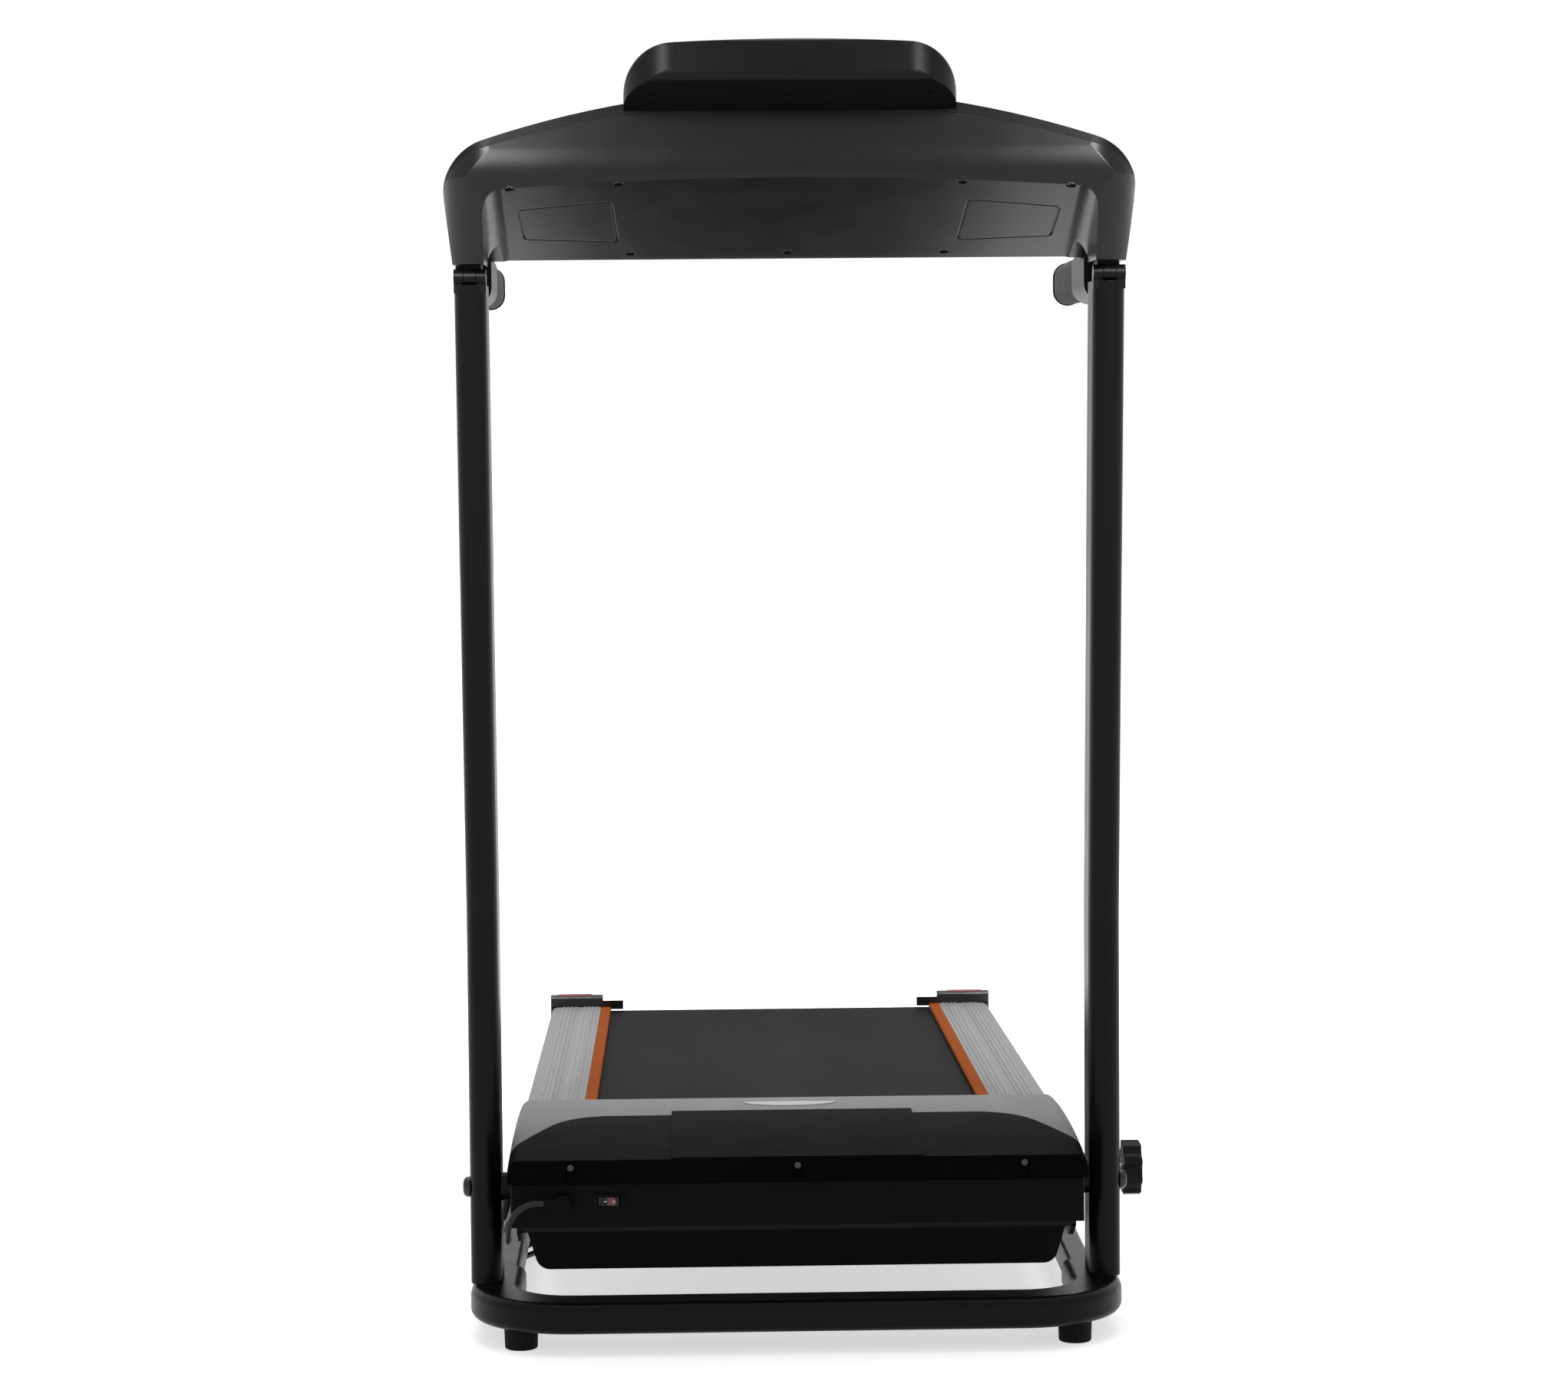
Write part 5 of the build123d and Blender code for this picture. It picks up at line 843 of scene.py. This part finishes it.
class TREADMILL_OT_button_signs(bpy.types.Operator):
    """Model the raised signs on the console's buttons"""

    bl_idname = "treadmill.button_signs"
    bl_label = "Button signs"

    def execute(self, context):
        values = sizes()
        white = grained("sign_white", colours().sign, 0.45, 0.4, 900, 0.00001, 0, 0.04)
        # Corners of each part of a sign, and its width and height as shares of the sign's size
        for button, parts in (
            ("speed_down_button", ((4, 1, 0.26),)),
            ("speed_up_button", ((4, 1, 0.26), (4, 0.26, 1))),
            ("start_button", ((3, 1, 1),)),
            ("stop_button", ((4, 0.8, 0.8),)),
        ):
            places = [v.co for v in nodes[button].data.vertices]
            top = max(p.dot(DESK_UP) for p in places)
            middle = sum(places, Vector()) / len(places)
            origin = middle + DESK_UP * (top - middle.dot(DESK_UP))
            shapes = []
            for corners, wide, tall in parts:
                deselect()
                bpy.ops.mesh.primitive_cylinder_add(
                    vertices=corners, radius=values.sign_size / 2, depth=values.sign_height
                )
                shape = context.object
                turn = pi / 4 if corners == 4 else pi / 2
                shape.rotation_euler = (0, 0, turn)
                bpy.ops.object.transform_apply(location=False, rotation=True, scale=False)
                lift = DESK_UP * (values.sign_height / 2 + SIGN_LIFT)
                stretch = Matrix.Diagonal((wide, tall, 1, 1))
                shape.matrix_world = facing(origin + lift, Vector((1, 0, 0)), DESK_UP) @ stretch
                bpy.ops.object.transform_apply(location=True, rotation=True, scale=True)
                shapes.append(shape)
            sign = shapes[0]
            for other in shapes[1:]:
                union = sign.modifiers.new("union", "BOOLEAN")
                union.operation = "UNION"
                union.object = other
                apply_all(sign)
                bpy.data.objects.remove(other)
            settle(sign, button.replace("button", "sign"), white)
            soft = sign.modifiers.new("soft", "BEVEL")
            soft.width = SIGN_ROUND
            soft.segments = 2
            apply_all(sign)
            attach(sign, button)
        return {"FINISHED"}


def digit_bar(length, width):
    """A flat bar with pointed ends that stands upright on the origin's plane."""
    deselect()
    bpy.ops.mesh.primitive_circle_add(vertices=6, radius=width / 2, fill_type="NGON")
    bar = bpy.context.object
    for way in (1, -1):
        pick(bar, lambda p: p.y * way > width * 0.1)
        bpy.ops.transform.translate(value=(0, way * (length - width) / 2, 0))
    bpy.ops.object.mode_set(mode="OBJECT")
    return bar


def window_outward():
    """The way the display's window faces."""
    faces = nodes["display_lens"].data.polygons
    return max(faces, key=lambda face: face.area * (face.normal.y > 0)).normal.copy()


class TREADMILL_OT_head_shell(bpy.types.Operator):
    """Open the display head over its window, where the CAD solid keeps a thin skin"""

    bl_idname = "treadmill.head_shell"
    bl_label = "Display head"

    def execute(self, context):
        copies = []
        for node in ("display_head", "display_lens"):
            copies.append(bpy.data.objects.new(node, nodes[node].data.copy()))
            context.collection.objects.link(copies[-1])
        head, cutter = copies
        settle(head, "head_shell", nodes["display_head"].data.materials[0])
        bpy.ops.mesh.customdata_custom_splitnormals_clear()
        cutter.location = window_outward() * WINDOW_CUT
        cut = head.modifiers.new("window", "BOOLEAN")
        cut.operation = "DIFFERENCE"
        cut.solver = "EXACT"
        cut.object = cutter
        apply_all(head)
        bpy.data.objects.remove(cutter)
        bpy.ops.object.shade_smooth_by_angle(angle=radians(30))
        even = head.modifiers.new("even", "WEIGHTED_NORMAL")
        even.keep_sharp = True
        apply_all(head)
        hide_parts("display_head")
        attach(head, "console")
        return {"FINISHED"}


class TREADMILL_OT_display_digits(bpy.types.Operator):
    """Model the lit zeros of the display, on its board behind the window"""

    bl_idname = "treadmill.display_digits"
    bl_label = "Display digits"

    def execute(self, context):
        values = sizes()
        tall = values.digit_height
        wide, stroke = tall * DIGIT_WIDTH, tall * DIGIT_STROKE
        bars = []
        left = -sum(DIGIT_STEPS[mark] for mark in DISPLAY_TEXT) * tall / 2
        for mark in DISPLAY_TEXT:
            spots = []
            if mark == "0":
                spots = [(x, y, False) for x in (0, wide) for y in (-tall / 4, tall / 4)]
                spots += [(wide / 2, y, True) for y in (-tall / 2, tall / 2)]
            for x, y, flat in spots:
                bar = digit_bar(wide * DIGIT_BAR_ACROSS if flat else tall * DIGIT_BAR_UP, stroke)
                bar.rotation_euler = (0, 0, pi / 2 if flat else 0)
                bar.location = (left + x, y, 0)
                bars.append(bar)
            for y in {".": (-tall / 2,), ":": (-tall / 5, tall / 5)}.get(mark, ()):
                dot = digit_bar(stroke * 1.1, stroke)
                dot.location = (left, y, 0)
                bars.append(dot)
            left += DIGIT_STEPS[mark] * tall
        for bar in bars:
            bar.select_set(True)
        bpy.ops.object.transform_apply(location=True, rotation=True, scale=True)
        digits = join(bars)

        outward = window_outward()
        places = [v.co for v in nodes["display_board"].data.vertices]
        top = max(p.dot(outward) for p in places)
        middle = sum(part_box("display_board"), Vector()) / 2
        origin = middle + outward * (top - middle.dot(outward) + DIGIT_LIFT)
        digits.matrix_world = facing(origin, Vector((-1, 0, 0)), outward)
        glow = Finish("digit_glow")
        grain = glow.spread(glow.noise(900), 0, 1)
        lit = glow.tint(grain, shade(colours().digits, 0.8), colours().digits)
        glow.set(Base_Color=lit, Emission_Color=lit, Emission_Strength=DIGIT_GLOW, Roughness=0.5)
        settle(digits, "display_digits", glow.material)
        thick = digits.modifiers.new("thick", "SOLIDIFY")
        thick.thickness = values.sign_height
        thick.offset = 0
        apply_all(digits)
        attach(digits, "console")
        return {"FINISHED"}


def seen_rays(tree):
    """1 for rays that see the background: straight, mirrored or through glass."""
    rays = tree.nodes.new("ShaderNodeLightPath")
    seen = rays.outputs["Is Camera Ray"]
    for other in ("Is Glossy Ray", "Is Transmission Ray"):
        either = tree.nodes.new("ShaderNodeMath")
        either.operation = "MAXIMUM"
        tree.links.new(seen, either.inputs[0])
        tree.links.new(rays.outputs[other], either.inputs[1])
        seen = either.outputs[0]
    return seen


class TREADMILL_OT_studio(bpy.types.Operator):
    """Set up the floor, the lamps, the sky and the camera"""

    bl_idname = "treadmill.studio"
    bl_label = "Studio"

    def execute(self, context):
        scene = context.scene
        scene.view_settings.view_transform = "Standard"
        deselect()
        bpy.ops.mesh.primitive_grid_add(
            x_subdivisions=4, y_subdivisions=4, size=40, location=(0, 0, FLOOR_LEVEL)
        )
        floor = context.object
        ground = Finish("studio_floor")
        far = ground.add("VectorMath", Vector=ground.place)
        far.operation = "LENGTH"
        glow = ground.add("Math")
        glow.operation = "MULTIPLY"
        ground.feed(glow.inputs[0], ground.spread(far.outputs["Value"], *FLOOR_GLOW))
        ground.feed(glow.inputs[1], seen_rays(ground.tree))
        cloud = ground.spread(ground.noise(3), 0, 1)
        pale = ground.tint(cloud, shade(colours().floor, 0.995), colours().floor)
        ground.set(
            Base_Color=pale,
            Roughness=0.9,
            Specular_IOR_Level=0.0,
            Emission_Color=(1, 1, 1, 1),
            Emission_Strength=glow.outputs[0],
        )
        settle(floor, "studio_floor", ground.material)

        sky = bpy.data.worlds.new("studio_sky")
        sky.use_nodes = True
        scene.world = sky
        tree = sky.node_tree
        level = tree.nodes.new("ShaderNodeMapRange")
        tree.links.new(seen_rays(tree), level.inputs["Value"])
        level.inputs["To Min"].default_value = SKY_LIGHT
        background = tree.nodes["Background"]
        background.inputs["Color"].default_value = (1, 1, 1, 1)
        tree.links.new(level.outputs[0], background.inputs["Strength"])

        for name, place, target, wide, tall, power, spread in LAMPS:
            lamp = bpy.data.lights.new(name, "AREA")
            lamp.shape = "RECTANGLE"
            lamp.size, lamp.size_y, lamp.energy = wide, tall, power
            lamp.spread = radians(spread)
            holder = bpy.data.objects.new(name, lamp)
            scene.collection.objects.link(holder)
            holder.location = place
            aim = Vector(target) - Vector(place)
            holder.rotation_euler = aim.to_track_quat("-Z", "Y").to_euler()
            holder.visible_camera = False

        view = bpy.data.cameras.new("camera")
        view.sensor_fit = "HORIZONTAL"
        view.sensor_width = SENSOR_WIDTH
        view.lens = FOCAL_LENGTH
        view.clip_end = 60
        camera = bpy.data.objects.new("camera", view)
        scene.collection.objects.link(camera)
        aside, down, roll = CAMERA_TURN
        turn = (
            Matrix.Rotation(radians(aside), 4, "Z")
            @ Matrix.Rotation(radians(90 + down), 4, "X")
            @ Matrix.Rotation(radians(roll), 4, "Z")
        )
        camera.matrix_world = Matrix.Translation(CAMERA_PLACE) @ turn
        scene.camera = camera
        return {"FINISHED"}


class TREADMILL_PT_panel(bpy.types.Panel):
    """Lists the treadmill's pieces"""

    bl_idname = "TREADMILL_PT_panel"
    bl_label = "Folding treadmill"
    bl_space_type = "VIEW_3D"
    bl_region_type = "UI"
    bl_category = "Treadmill"

    def draw(self, context):
        for piece in PIECES:
            self.layout.operator(piece.bl_idname)
        for group in (sizes(), colours()):
            box = self.layout.box()
            for name in group.__annotations__:
                box.prop(group, name)


PIECES = (
    TREADMILL_OT_studio,
    TREADMILL_OT_mains_cord,
    TREADMILL_OT_frame_finish,
    TREADMILL_OT_deck_finish,
    TREADMILL_OT_console_finish,
    TREADMILL_OT_handle_foam,
    TREADMILL_OT_hood_badge,
    TREADMILL_OT_cap_plates,
    TREADMILL_OT_switch_marks,
    TREADMILL_OT_button_signs,
    TREADMILL_OT_head_shell,
    TREADMILL_OT_display_digits,
)
CLASSES = (TreadmillSizes, TreadmillColours, *PIECES, TREADMILL_PT_panel)


def register():
    for item in CLASSES:
        bpy.utils.register_class(item)
    bpy.types.Scene.treadmill_sizes = PointerProperty(type=TreadmillSizes)
    bpy.types.Scene.treadmill_colours = PointerProperty(type=TreadmillColours)


def unregister():
    del bpy.types.Scene.treadmill_colours
    del bpy.types.Scene.treadmill_sizes
    for item in reversed(CLASSES):
        bpy.utils.unregister_class(item)


def main():
    register()
    bpy.ops.treadmill.studio()
    bpy.ops.treadmill.mains_cord()
    bpy.ops.treadmill.frame_finish()
    bpy.ops.treadmill.deck_finish()
    bpy.ops.treadmill.console_finish()
    bpy.ops.treadmill.handle_foam()
    bpy.ops.treadmill.hood_badge()
    bpy.ops.treadmill.cap_plates()
    bpy.ops.treadmill.switch_marks()
    bpy.ops.treadmill.button_signs()
    bpy.ops.treadmill.head_shell()
    bpy.ops.treadmill.display_digits()


if __name__ == "__main__":
    main()
